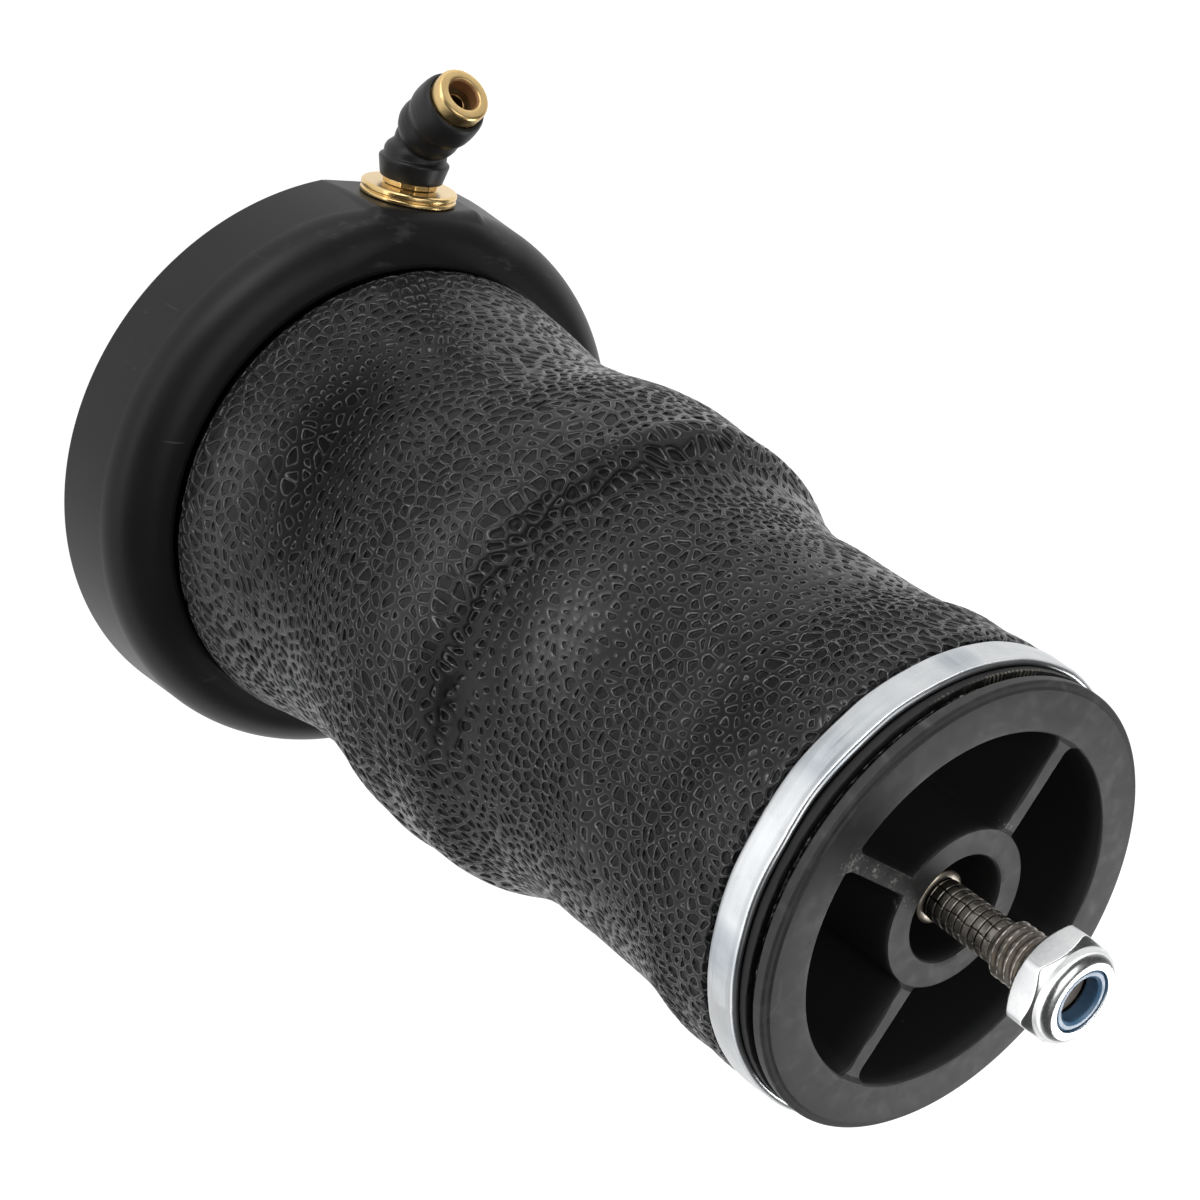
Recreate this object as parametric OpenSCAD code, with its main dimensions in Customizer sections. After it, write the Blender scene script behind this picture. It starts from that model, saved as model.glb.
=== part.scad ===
// Sleeve-type air suspension spring, standing on its large end cap.
// Origin: centre of the end cap's mounting face. +Z runs along the spring
// axis towards the stud, and the air port points along +Y.

/* [Main] */
// Distance from the end cap's mounting face to the stud-end face
length = 196; // [190:1:204]
// Radius of the large end cap at its mounting face
cap_r = 62.9; // [62.4:0.1:63.4]
// Depth of the end cap, from mounting face to its front edge
cap_h = 24.2; // [24.1:0.1:24.6]

/* [Sleeve] */
// Greatest outer radius of the sleeve, at its bulge
bulge_r = 49.8; // [48:0.1:51]
// Outer radius of the sleeve at its waist near the stud end
waist_r = 40.6; // [40:0.1:41.4]
// Thickness of the rubber cover
cover_t = 1.1; // [0.9:0.1:1.2]
// Thickness of the cord ply
ply_t = 0.5; // [0.4:0.1:0.5]
// Thickness of the rubber liner
liner_t = 0.6; // [0.4:0.1:0.6]

/* [Stud end] */
// Outer radius of the stud-end piece's flange
end_r = 40.7; // [40.2:0.1:41.2]
// Radius of the recess in the stud-end face
recess_r = 32; // [31:0.1:33]
// Outer radius of the hub
hub_r = 14.6; // [14:0.1:15.5]
// Radius of the hub's bore
hub_bore_r = 9.7; // [9.2:0.1:10.2]
// Thickness of each rib
rib_t = 3.2; // [2.6:0.1:4]
// Number of ribs
ribs = 4; // [3:1:6]
// Angle of the first rib from +X
rib_phase = -26; // [-45:0.1:45]

/* [Stud and nut] */
// Crest radius of the stud's thread
stud_r = 5; // [5:0.1:5]
// Pitch of the thread
pitch = 1.5; // [1.5:0.25:1.5]
// Radius of the grooved neck between hub and thread
neck_r = 3.7; // [3.4:0.1:4]
// Number of flutes along the neck
flutes = 10; // [8:1:12]
// Nut size across flats
nut_af = 17; // [16:0.5:18]
// Angle of one nut corner from +X
nut_phase = 27.4; // [0:0.1:60]

/* [Air port] */
// Height of the port axis above the mounting face
port_z = 10.5; // [10.4:0.1:10.8]
// Radius of the brass flange
port_flange_r = 10; // [9.5:0.1:10.2]
// Radius of the tube hole in the release collet
tube_r = 3.25; // [3.2:0.01:3.3]
// Bend of the elbow away from the swivel axis
elbow_bend = 45; // [45:1:45]

/* [Mounting] */
// Distance between the two threaded inserts
insert_pitch = 70; // [68:1:72]
// Bore radius of each insert
insert_bore_r = 3.4; // [3.3:0.05:3.5]

/* [Hidden] */
$fn = 96;

// Radial distances along the port axis
pad_y = 61.2;      // flat pad on the cap
flange_t = 2.6;    // brass flange
hex_y = pad_y + flange_t;
collar_y = hex_y + 1.2;
bend_y = 73.2;     // where the swivel axis and the barrel axis cross
spigot_r = 4.6;    // adapter spigot in the elbow
spigot_y = 72.0;
bore_gap = 0.05;   // running clearance

// Heights along the spring axis
floor_z = 5;       // inner floor of the cap
clamp_z0 = 18.0;   // cut end of the sleeve inside the cap
clamp_r = 43.8;    // neck that the sleeve is clamped on, cap side
seat_r = 38.2;     // neck that the sleeve is clamped on, stud side
wall = cover_t + ply_t + liner_t;
ring_z0 = length - 12;
ring_z1 = length - 5.7;
cut_z = length - 3.9;      // cut end of the sleeve at the stud end
head_z = length - 26;      // bottom of the stud's head
collar_top = length - 4.5; // end of the stud's full shank
thread_z = length + 10.6;  // start of the thread
stud_top = length + 22.6;
nut_z0 = length + 18.6;
nut_z1 = length + 26.2;

function in_range(v, lo, hi) = min(max(v, lo), hi);
// Groups of [r, z] pairs for an arc about (cr, cz) from angle a0 to a1
function arc(cr, cz, rad, a0, a1, n = 8) =
  [for (i = [0:n]) let (a = a0 + (a1 - a0) * i / n) [cr + rad * cos(a), cz + rad * sin(a)]];

module revolve(p) rotate_extrude() polygon(p);
module tube(ro, ri, z0, z1) translate([0, 0, z0]) difference() {
  cylinder(r = ro, h = z1 - z0);
  translate([0, 0, -1]) cylinder(r = ri, h = z1 - z0 + 2);
}
module torus(r, c, z) translate([0, 0, z]) rotate_extrude() translate([r, 0]) circle(r = c, $fn = 32);
// Local z along the port axis, measured from the spring axis
module port_axis() translate([0, 0, port_z]) rotate([-90, 0, 0]) children();
// Local z along the elbow's barrel, measured from the bend
module barrel_axis() port_axis() translate([0, 0, bend_y]) rotate([elbow_bend, 0, 0]) children();

// Outer surface of the sleeve as [r, z], from the cap's ring to the other ring.
// Heights are fractions of the free length between z = 25 and the lower ring.
free0 = 25;
free1 = ring_z0 - 1;
function sz(t) = free0 + (free1 - free0) * t;
function sleeve_outer() = [
  [clamp_r + wall, clamp_z0], [clamp_r + wall, 22.4],
  [48.4, 23.7], [49.7, 24.9], [50.6, 26.4], [50.7, 28.6], [50.2, sz(0.04)], [49.3, sz(0.075)],
  [48.2, sz(0.13)], [47.3, sz(0.19)], [47.1, sz(0.235)], [47.8, sz(0.28)],
  [bulge_r - 0.8, sz(0.335)], [bulge_r - 0.15, sz(0.38)], [bulge_r, sz(0.42)],
  [bulge_r - 0.4, sz(0.47)], [bulge_r - 1.5, sz(0.52)], [46.4, sz(0.58)],
  [44.2, sz(0.635)], [42.4, sz(0.685)], [41.2, sz(0.73)], [waist_r, sz(0.78)],
  [waist_r, sz(0.83)], [waist_r + 0.4, sz(0.89)], [waist_r + 1.1, sz(0.95)],
  [42.2, sz(0.985)], [41.9, free1], [seat_r + wall, ring_z0],
  [seat_r + wall, cut_z]];
function inset(p, d) = [for (q = p) [q[0] - d, q[1]]];
function flip(p) = [for (i = [len(p) - 1:-1:0]) p[i]];
module layer(outer_d, inner_d) revolve(concat(inset(sleeve_outer(), outer_d), flip(inset(sleeve_outer(), inner_d))));

// ---- Cap end ----
module cap_profile() polygon(concat(
  [[0, 0], [cap_r - 0.15, 0], [cap_r, 0.15], [cap_r - 1.2, 14.2]],
  arc(cap_r - 11, 14.2, 9.8, 0, 84, 10),
  [[51.2, cap_h], [50.6, cap_h - 0.1], [50.2, cap_h - 0.5],
   [50.2, cap_h - 2], [54.2, 19], [55, 16.5],
   [43.4, 16.5], [43.4, 18], [40, 18], [40, floor_z], [0, floor_z]]));

module end_cap() color([0.16, 0.16, 0.17]) difference() {
  union() {
    rotate_extrude() cap_profile();
    // locating spigot for the bump stop
    translate([0, 0, floor_z - 0.5]) cylinder(r = 8, h = 15.5);
    for (s = [-1, 1]) translate([s * insert_pitch / 2, 0, 0]) cylinder(r = 8.4, h = 12.4);
    // flat boss under the port flange, rounded over at the front
    translate([-12.5, 0, 0]) rotate([90, 0, 90]) linear_extrude(height = 25) polygon(concat(
      [[56, 0.01], [pad_y, 0.01]], arc(pad_y - 3.8, cap_h - 4, 3.8, 0, 84, 6),
      [[55, cap_h - 0.18], [53, cap_h - 0.25], [53, 22.5], [56, 19]]));
  }
  // flat pad face
  translate([-14.6, pad_y, -1]) cube([29.2, 5, cap_h + 2]);
  // shallow sink pockets in the mounting face, between ribs
  difference() {
    tube(56.4, 45.4, -1, 3.4);
    for (k = [0:11]) rotate(15 + k * 30) translate([40, -1.7, -2]) cube([20, 3.4, 14]);
    translate([-10.5, 40, -2]) cube([21, 20, 14]);
    for (s = [-1, 1]) translate([s * insert_pitch / 2, 0, -2]) cylinder(r = 11.4, h = 14);
  }
  // insert seats
  for (s = [-1, 1]) translate([s * insert_pitch / 2, 0, -1]) cylinder(r = 5.6, h = 10.6);
  // port: seat for the gasket, stem hole and air passage
  port_axis() {
    translate([0, 0, pad_y - 1.2]) cylinder(r = 7.8, h = 3);
    translate([0, 0, 50]) cylinder(r = 4.9, h = 20);
    translate([0, 0, 30]) cylinder(r = 2.2, h = 25);
  }
}

module bead_closure() color([0.22, 0.22, 0.23]) difference() {
  revolve([[34, 13.2], [39.3, 13.2], [39.9, 13.8], [39.9, 14.3], [37.9, 14.3], [37.9, 17],
    [39.9, 17], [39.9, 18], [clamp_r, 18], [clamp_r, 19.8], [clamp_r - 0.7, 20.2],
    [clamp_r - 0.7, 21], [clamp_r, 21.4], [clamp_r, 22.6], [clamp_r - 0.7, 23],
    [clamp_r - 0.7, 23.8], [clamp_r, 24.2], [clamp_r, 27.5], [clamp_r - 2, 30], [36, 30],
    [34, 28]]);
}

module closure_o_ring() color([0.05, 0.05, 0.05]) revolve([[38.0, 14.5], [39.5, 14.5],
  [39.95, 15.0], [39.95, 16.3], [39.5, 16.8], [38.0, 16.8]]);

module upper_crimp_ring() color([0.75, 0.76, 0.78]) {
  ro = clamp_r + wall;
  revolve([[ro + 0.05, 18.3], [ro + 1.5, 18.3], [ro + 1.8, 18.8], [ro + 1.8, 21.7],
    [ro + 1.5, 22.2], [ro + 0.05, 22.2]]);
}

module sleeve_cover() color([0.09, 0.09, 0.09]) layer(0, cover_t);
module sleeve_cord_ply() color([0.75, 0.72, 0.62]) layer(cover_t, cover_t + ply_t);
module sleeve_liner() color([0.12, 0.12, 0.12]) layer(cover_t + ply_t, wall);

module bump_stop() color([0.85, 0.80, 0.62]) revolve([[8, floor_z], [22, floor_z],
  [23, floor_z + 1], [23, 14], [20, 17.5], [23, 21], [23, 29], [18.5, 33.5], [21.5, 38],
  [21.5, 47], [16.5, 51.5], [19, 56], [18.5, 66], [14, 76], [8, 82.5], [3, 84.5], [0, 84.8],
  [0, 20.4], [8, 20.4]]);

module mounting_inserts() color([0.80, 0.66, 0.32])
  for (s = [-1, 1]) translate([s * insert_pitch / 2, 0, 0]) rotate_extrude() polygon([
    [insert_bore_r, 0.2], [5.6, 0.2], [5.6, 3], [5.1, 3.4], [5.1, 5], [5.6, 5.4], [5.6, 9.4],
    [insert_bore_r, 9.4]]);

// ---- Air port ----
module port_adapter() color([0.80, 0.62, 0.25]) port_axis() difference() {
  union() {
    // stem in the cap, with rounded retaining rings
    rotate_extrude() polygon([[0, 50.2], [3.9, 50.2], [4.85, 51.2], [4.85, 52.2], [4.3, 52.8],
      [4.3, 53.4], [4.85, 54], [4.85, 55], [4.3, 55.6], [4.3, 56.2], [4.85, 56.8],
      [4.85, pad_y], [0, pad_y]]);
    // flange of two discs with a groove between them
    rotate_extrude() polygon([[0, pad_y], [port_flange_r - 0.25, pad_y],
      [port_flange_r, pad_y + 0.25], [port_flange_r, pad_y + 0.95],
      [port_flange_r - 0.2, pad_y + 1.15], [port_flange_r - 0.45, pad_y + 1.25],
      [port_flange_r - 0.2, pad_y + 1.35],
      [port_flange_r, pad_y + 1.55], [port_flange_r, hex_y - 0.3], [port_flange_r - 0.3, hex_y],
      [0, hex_y]]);
    // twelve-sided drive
    translate([0, 0, hex_y - 0.01]) rotate(8) cylinder(r = 5.8, h = collar_y - hex_y, $fn = 12);
    // spigot with seal and clip grooves
    rotate_extrude() polygon([[0, collar_y - 0.1], [spigot_r, collar_y - 0.1],
      [spigot_r, collar_y + 1.2], [3.35, collar_y + 1.2], [3.35, collar_y + 3.1],
      [spigot_r, collar_y + 3.1], [spigot_r, collar_y + 3.9], [4, collar_y + 3.9],
      [4, collar_y + 4.8], [spigot_r, collar_y + 4.8], [spigot_r, spigot_y - 0.4],
      [spigot_r - 0.4, spigot_y], [0, spigot_y]]);
  }
  translate([0, 0, 45]) cylinder(r = 2.0, h = 30);
}

module port_gasket() color([0.05, 0.05, 0.05]) port_axis() revolve([[4.95, pad_y - 1.15],
  [7.6, pad_y - 1.15], [7.6, pad_y - 0.02], [4.95, pad_y - 0.02]]);

module swivel_o_ring() color([0.05, 0.05, 0.05]) port_axis() revolve([[3.4, collar_y + 1.35],
  [4.35, collar_y + 1.35], [4.62, collar_y + 1.75], [4.62, collar_y + 2.55],
  [4.35, collar_y + 2.95], [3.4, collar_y + 2.95]]);

module elbow_body() color([0.08, 0.08, 0.08]) difference() {
  union() {
    // swivel collar, a smaller step on it, and the waist below the bend
    port_axis() rotate_extrude() polygon([[0, collar_y + 0.1], [6.3, collar_y + 0.1],
      [6.55, collar_y + 0.35], [7.35, collar_y + 3.8], [7.35, collar_y + 4.1],
      [7.1, collar_y + 4.4], [6.6, collar_y + 4.6], [6.5, collar_y + 6.1],
      [6.1, collar_y + 6.9], [5.3, collar_y + 7.6], [4.55, collar_y + 8.4], [0, collar_y + 8.4]]);
    port_axis() translate([0, 0, bend_y]) sphere(r = 4.85);
    // barrel for the tube connection: knuckle, shallow waist, socket
    barrel_axis() rotate_extrude() polygon([[0, 0.3], [3.9, 0.3], [5.1, 1.2], [6.2, 2.5],
      [6.75, 3.8], [6.85, 5.1], [6.7, 6.4], [6.45, 7.3], [6.6, 7.7], [6.95, 8.4], [7.2, 9.6],
      [7.25, 11.2], [7.15, 13], [6.95, 14.2], [6.6, 14.9], [6.35, 15.1], [0, 15.1]]);
  }
  // swivel socket, with a groove for the clip
  port_axis() {
    translate([0, 0, collar_y - 1]) cylinder(r = spigot_r + bore_gap, h = spigot_y + 0.3 - collar_y + 1);
    translate([0, 0, collar_y + 3.85]) cylinder(r = 5.5, h = 1.0);
    translate([0, 0, collar_y]) cylinder(r = 1.8, h = bend_y + 0.6 - collar_y);
  }
  // barrel: air passage, seal seat and cartridge seat
  barrel_axis() {
    translate([0, 0, -0.9]) cylinder(r = 1.7, h = 6);
    translate([0, 0, 3.6]) cylinder(r = 5.1, h = 4.0);
    translate([0, 0, 7.2]) cylinder(r = 5.6, h = 8);
    translate([0, 0, 13.3]) cylinder(r = 5.95, h = 3);
  }
}

module swivel_clip() color([0.72, 0.72, 0.72]) port_axis() difference() {
  tube(5.4, 4.1, collar_y + 3.95, collar_y + 4.75);
  translate([0, -1.5, collar_y]) cube([8, 3, 10]);
}

module tube_o_ring() color([0.05, 0.05, 0.05]) barrel_axis() torus(4.15, 0.88, 5.0);

module backup_ring() color([0.90, 0.90, 0.88]) barrel_axis() tube(5.0, 3.4, 6.1, 7.1);

module grab_ring() color([0.75, 0.75, 0.76]) barrel_axis() difference() {
  revolve([[3.6, 8.1], [4.3, 7.3], [5.5, 7.3], [5.5, 7.7], [4.45, 7.7], [3.8, 8.4]]);
  for (k = [0:9]) rotate(k * 36) translate([3, -0.25, 7.1]) cube([1.2, 0.5, 2]);
}

module collet_cartridge() color([0.80, 0.62, 0.25]) barrel_axis() revolve([[4.65, 7.8],
  [5.6, 7.8], [5.6, 13.1], [5.4, 13.3], [4.8, 13.3], [4.65, 13.1]]);

module tube_support() color([0.80, 0.62, 0.25]) barrel_axis() union() {
  revolve([[1.72, 3.6], [3.0, 3.6], [3.0, 4.0], [2.2, 4.0], [2.2, 14.6], [2.0, 14.8],
    [1.72, 14.8]]);
}

// ---- Release collet ----
module release_collet() color([0.82, 0.64, 0.27]) barrel_axis() difference() {
  revolve([[3.6, 9.9], [4.0, 9.9], [4.6, 10.7], [4.6, 14.75], [5.6, 14.75], [5.8, 14.95],
    [5.8, 17.6], [5.65, 17.95], [5.3, 18.2], [3.75, 18.2], [3.4, 18.0],
    [tube_r, 17.65], [tube_r, 15.1], [3.6, 14.7]]);
  for (k = [0:3]) rotate(45 + k * 90) translate([3, -0.4, 9]) cube([2, 0.8, 4.6]);
}

// ---- Stud end ----
module stud_end_piece() color([0.24, 0.24, 0.25]) difference() {
  union() {
    // shell: sealing neck, flange and floor
    difference() {
      revolve([[0, length - 32], [seat_r - 3, length - 32], [seat_r - 0.6, length - 29.6],
        [seat_r, length - 28], [seat_r, length - 11.5], [seat_r - 0.7, length - 11.1],
        [seat_r - 0.7, length - 10.3], [seat_r, length - 9.9], [seat_r, length - 8.6],
        [seat_r - 0.7, length - 8.2], [seat_r - 0.7, length - 7.4], [seat_r, length - 7],
        [seat_r, length - 3.4], [seat_r + 0.5, length - 2.9], [end_r - 0.7, length - 2.9],
        [end_r, length - 2.2], [end_r, length - 0.8], [end_r - 0.5, length - 0.1],
        [end_r - 0.9, length], [0, length]]);
      translate([0, 0, length - 27]) rotate_extrude() polygon([[0, 0], [recess_r - 2.5, 0],
        [recess_r - 1.5, 1], [recess_r - 0.4, 26.4], [recess_r, 27], [recess_r, 28], [0, 28]]);
    }
    // hub and ribs
    translate([0, 0, length - 28]) rotate_extrude() polygon([[0, 0], [hub_r + 0.8, 0],
      [hub_r, 26.4], [hub_r - 0.5, 26.9], [0, 26.9]]);
    for (k = [0:ribs - 1]) rotate(rib_phase + k * 360 / ribs)
      translate([hub_r - 2, -rib_t / 2, length - 28]) cube([recess_r - hub_r + 3, rib_t, 27.4]);
  }
  // hub bore, open down to the stud's seat
  translate([0, 0, length - 14]) cylinder(r = hub_bore_r, h = 20);
  // cavity of the moulded-in stud and its seal
  translate([0, 0, head_z]) rotate(30) cylinder(r = 8.5, h = 6, $fn = 6);
  translate([0, 0, head_z]) cylinder(r = 4.9, h = 20);
  tube(6.6, 4.0, head_z + 8, head_z + 10);
}

module lower_crimp_ring() color([0.72, 0.73, 0.75]) {
  ro = seat_r + wall;
  revolve(concat([[ro + 0.05, ring_z0 + 0.2], [ro + 0.5, ring_z0]],
    arc(ro + 0.95, ring_z0 + 0.85, 0.85, -90, 0, 4),
    [[ro + 1.75, ring_z0 + 2], [ro + 1.5, ring_z1 - 1.5]],
    arc(ro + 0.75, ring_z1 - 0.75, 0.75, 0, 90, 4),
    [[ro + 0.5, ring_z1], [ro + 0.05, ring_z1 - 0.2]]));
}

// Ring-grooved profile between two heights, crest radius r, depth d
function grooves(z0, z1, r, d, p) = [for (i = [0:floor((z1 - z0) / p) - 1]) each
  [[r, z0 + i * p + 0.12 * p], [r, z0 + i * p + 0.42 * p], [r - d, z0 + i * p + 0.70 * p],
   [r - d, z0 + i * p + 0.84 * p]]];

module stud() color([0.55, 0.53, 0.50]) difference() {
  union() {
    translate([0, 0, head_z]) rotate(30) cylinder(r = 8.5, h = 6, $fn = 6);
    revolve(concat([[0, head_z + 5], [4.9, head_z + 5], [4.9, collar_top - 0.6],
      [4.4, collar_top], [neck_r, collar_top]],
      grooves(collar_top + 0.1, thread_z - 0.4, neck_r, 0.35, pitch),
      [[neck_r, thread_z - 0.3], [stud_r - 0.6, thread_z]],
      grooves(thread_z, stud_top - 1.0, stud_r, 0.85, pitch),
      [[stud_r - 0.2, stud_top - 1.0], [stud_r - 1, stud_top], [0, stud_top]]));
  }
  // flutes along the neck
  for (k = [0:flutes - 1]) rotate(k * 360 / flutes)
    translate([neck_r - 0.3, -0.16, collar_top + 0.05]) cube([1, 0.32, thread_z - collar_top - 0.5]);
}

module stud_o_ring() color([0.05, 0.05, 0.05]) tube(6.5, 4.95, head_z + 8.1, head_z + 9.9);

// ---- Lock nut ----
module lock_nut() color([0.80, 0.82, 0.83]) difference() {
  union() {
    intersection() {
      translate([0, 0, nut_z0]) rotate(nut_phase) cylinder(r = nut_af / 2 / cos(30), h = 6.6, $fn = 6);
      // 30-degree chamfers at both ends
      revolve([[0, nut_z0], [nut_af / 2 - 0.5, nut_z0], [nut_af / 2 + 2.2, nut_z0 + 1.56],
        [nut_af / 2 + 2.2, nut_z0 + 4.5], [nut_af / 2 - 0.7, nut_z0 + 6.17], [0, nut_z0 + 6.17]]);
    }
    // collar that holds the insert
    translate([0, 0, nut_z0 + 5]) rotate_extrude() polygon(concat([[0, 0], [8.15, 0]],
      arc(7.05, nut_z1 - nut_z0 - 6.1, 1.1, 0, 90, 6), [[0, nut_z1 - nut_z0 - 5]]));
  }
  translate([0, 0, nut_z0 - 1]) cylinder(r = stud_r + 0.06, h = 10);
  translate([0, 0, nut_z0 - 0.01]) rotate_extrude() polygon([[0, 0], [5.75, 0], [5.0, 0.75], [0, 0.75]]);
  // seat and lip of the insert
  translate([0, 0, nut_z0 + 4.3]) cylinder(r = 6.65, h = 2.6);
  translate([0, 0, nut_z0 + 5]) cylinder(r = 5.5, h = 5);
}

module lock_nut_insert() color([0.22, 0.38, 0.60]) revolve([[3.95, nut_z0 + 4.5],
  [6.6, nut_z0 + 4.5], [6.6, nut_z0 + 6.85], [5.42, nut_z0 + 6.85], [5.42, nut_z0 + 7.1],
  [5.1, nut_z0 + 7.35], [4.3, nut_z0 + 7.35], [3.95, nut_z0 + 7.0]]);

end_cap();
bead_closure();
closure_o_ring();
upper_crimp_ring();
sleeve_cover();
sleeve_cord_ply();
sleeve_liner();
bump_stop();
mounting_inserts();
port_adapter();
port_gasket();
swivel_o_ring();
elbow_body();
swivel_clip();
tube_o_ring();
backup_ring();
grab_ring();
collet_cartridge();
tube_support();
release_collet();
stud_end_piece();
lower_crimp_ring();
stud();
stud_o_ring();
lock_nut_insert();
lock_nut();
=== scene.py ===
import math

import bpy
import numpy as np
from mathutils import Matrix, Vector


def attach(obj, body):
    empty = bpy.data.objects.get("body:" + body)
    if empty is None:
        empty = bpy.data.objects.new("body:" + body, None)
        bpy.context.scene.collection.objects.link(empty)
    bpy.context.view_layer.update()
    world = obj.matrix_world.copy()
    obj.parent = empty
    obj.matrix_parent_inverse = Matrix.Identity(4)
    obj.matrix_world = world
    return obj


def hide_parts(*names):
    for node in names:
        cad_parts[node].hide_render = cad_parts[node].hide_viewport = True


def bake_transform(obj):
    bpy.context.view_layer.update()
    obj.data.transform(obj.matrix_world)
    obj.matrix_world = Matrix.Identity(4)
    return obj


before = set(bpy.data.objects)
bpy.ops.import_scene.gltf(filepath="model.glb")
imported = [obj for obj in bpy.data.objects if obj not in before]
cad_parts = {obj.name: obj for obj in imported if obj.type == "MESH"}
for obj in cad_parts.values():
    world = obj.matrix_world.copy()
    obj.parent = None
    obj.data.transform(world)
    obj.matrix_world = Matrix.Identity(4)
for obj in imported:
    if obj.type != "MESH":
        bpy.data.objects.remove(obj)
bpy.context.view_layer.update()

# ---------------------------------------------------------------------------
# Sizes, in mm, as in the CAD part
# ---------------------------------------------------------------------------
LENGTH = 196.0
CAP_R, CAP_H, PAD_Y = 62.9, 24.2, 61.2
HEX_Y, COLLAR_Y, BEND_Y, PORT_Z = 63.8, 65.0, 73.2, 10.5
CLAMP_R, SEAT_R, WALL = 43.8, 38.2, 2.2
RING_Z0, RING_Z1, CUT_Z = 184.0, 190.3, 192.1
PI2 = 2 * math.pi


# ---------------------------------------------------------------------------
# Mesh helpers
# ---------------------------------------------------------------------------
def link(o):
    bpy.context.scene.collection.objects.link(o)
    return o


def mesh_from(name, verts, faces, sharp=None):
    """verts in mm; faces is a list of integer arrays, one row per face."""
    me = bpy.data.meshes.new(name)
    v = np.asarray(verts, float) * 0.001
    me.vertices.add(len(v))
    me.vertices.foreach_set("co", v.astype(np.float32).ravel())
    loops = np.concatenate([f.ravel() for f in faces]).astype(np.int32)
    totals = np.concatenate([np.full(len(f), f.shape[1]) for f in faces]).astype(np.int32)
    starts = np.concatenate([[0], np.cumsum(totals)[:-1]]).astype(np.int32)
    me.loops.add(len(loops))
    me.loops.foreach_set("vertex_index", loops)
    me.polygons.add(len(totals))
    me.polygons.foreach_set("loop_start", starts)
    me.polygons.foreach_set("use_smooth", np.ones(len(totals), bool))
    me.update(calc_edges=True)
    if sharp is not None:
        me.set_sharp_from_angle(angle=math.radians(sharp))
    return link(bpy.data.objects.new(name, me))


def volume_sign(v, tris):
    a, b, c = v[tris[:, 0]], v[tris[:, 1]], v[tris[:, 2]]
    return np.einsum("ij,ij->i", a, np.cross(b, c)).sum()


def grid_quads(rows, cols, wrap_rows):
    i = np.arange(rows if wrap_rows else rows - 1)
    j = np.arange(cols)
    ii, jj = np.meshgrid(i, j, indexing="ij")
    i2, j2 = (ii + 1) % rows, (jj + 1) % cols
    return np.stack([ii * cols + jj, ii * cols + j2, i2 * cols + j2, i2 * cols + jj], -1).reshape(-1, 4)


def arc(cr, cz, rad, a0, a1, n=8):
    a = np.radians(np.linspace(a0, a1, n + 1))
    return [(cr + rad * math.cos(t), cz + rad * math.sin(t)) for t in a]


def rounded(pts, n=5, closed=True):
    """Polyline with a fillet at each point that has a third number, its radius."""
    out, m = [], len(pts)
    for i, p in enumerate(pts):
        r = p[2] if len(p) > 2 else 0
        if r <= 0 or (not closed and i in (0, m - 1)):
            out.append((p[0], p[1]))
            continue
        q = np.array(p[:2], float)
        a, b = np.array(pts[i - 1][:2], float), np.array(pts[(i + 1) % m][:2], float)
        da, db = a - q, b - q
        la, lb = np.linalg.norm(da), np.linalg.norm(db)
        da, db = da / la, db / lb
        ang = math.acos(max(-1, min(1, float(da @ db))))
        if ang > math.pi - 0.02:
            out.append((q[0], q[1]))
            continue
        t = min(r / math.tan(ang / 2), 0.49 * la, 0.49 * lb)
        r = t * math.tan(ang / 2)
        mid = (da + db) / np.linalg.norm(da + db)
        c = q + mid * (r / math.sin(ang / 2))
        s, e = q + da * t - c, q + db * t - c
        a0 = math.atan2(s[1], s[0])
        d = (math.atan2(e[1], e[0]) - a0 + math.pi) % PI2 - math.pi
        for k in range(n + 1):
            out.append((c[0] + r * math.cos(a0 + d * k / n), c[1] + r * math.sin(a0 + d * k / n)))
    return out


def split_long(pts, step, closed=True):
    """Adds points so that no stretch of the polyline is longer than step."""
    out, m = [], len(pts)
    for i in range(m if closed else m - 1):
        a, b = np.array(pts[i]), np.array(pts[(i + 1) % m])
        k = max(1, int(math.ceil(np.linalg.norm(b - a) / step)))
        out += [tuple(a + (b - a) * t / k) for t in range(k)]
    if not closed:
        out.append(tuple(pts[-1]))
    return out


def lathe(name, prof, n=192, place=None, shape=None, sharp=38, thetas=None, closed=True):
    """Closed profile of (r, z) turned about z. Ends with r 0 close in a fan. shape(r, theta, z) -> new (r, z)."""
    p = np.array(prof, float)
    th = np.arange(n) * PI2 / n if thetas is None else np.asarray(thetas, float)
    n = len(th)
    r = np.repeat(p[:, :1], n, 1)
    z = np.repeat(p[:, 1:2], n, 1)
    t = np.repeat(th[None], len(p), 0)
    if shape is not None:
        r, z = shape(r, t, z)
    v = np.stack([r * np.cos(t), r * np.sin(t), z], -1)
    axis = p[:, 0] < 1e-9
    rows = [i for i in range(len(p)) if not axis[i]]
    body = v[rows].reshape(-1, 3)
    faces = []
    if axis.any():
        q = grid_quads(len(rows), n, False)
        first = next(i for i in range(len(p)) if axis[i] and not axis[(i + 1) % len(p)])
        order = [(first + 1 + k) % len(p) for k in range(len(p))]
        order = [i for i in order if not axis[i]]
        body = v[order].reshape(-1, 3)
        last = p[(order[-1] + 1) % len(p), 1]
        body = np.vstack([body, [[0, 0, p[first, 1]], [0, 0, last]]])
        j = np.arange(n)
        top, end = len(body) - 2, len(body) - 1
        base = (len(order) - 1) * n
        tris = np.vstack([np.stack([np.full(n, top), (j + 1) % n, j], -1),
                          np.stack([np.full(n, end), base + j, base + (j + 1) % n], -1)])
        faces = [q, tris]
    else:
        q = grid_quads(len(rows), n, closed)
        faces = [q]
    tri = np.vstack([q[:, [0, 1, 2]], q[:, [0, 2, 3]]] + ([faces[1]] if len(faces) > 1 else []))
    if volume_sign(body, tri) < 0:
        faces = [f[:, ::-1] for f in faces]
    if place is not None:
        body = place(body)
    return mesh_from(name, body, faces, sharp)


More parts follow.
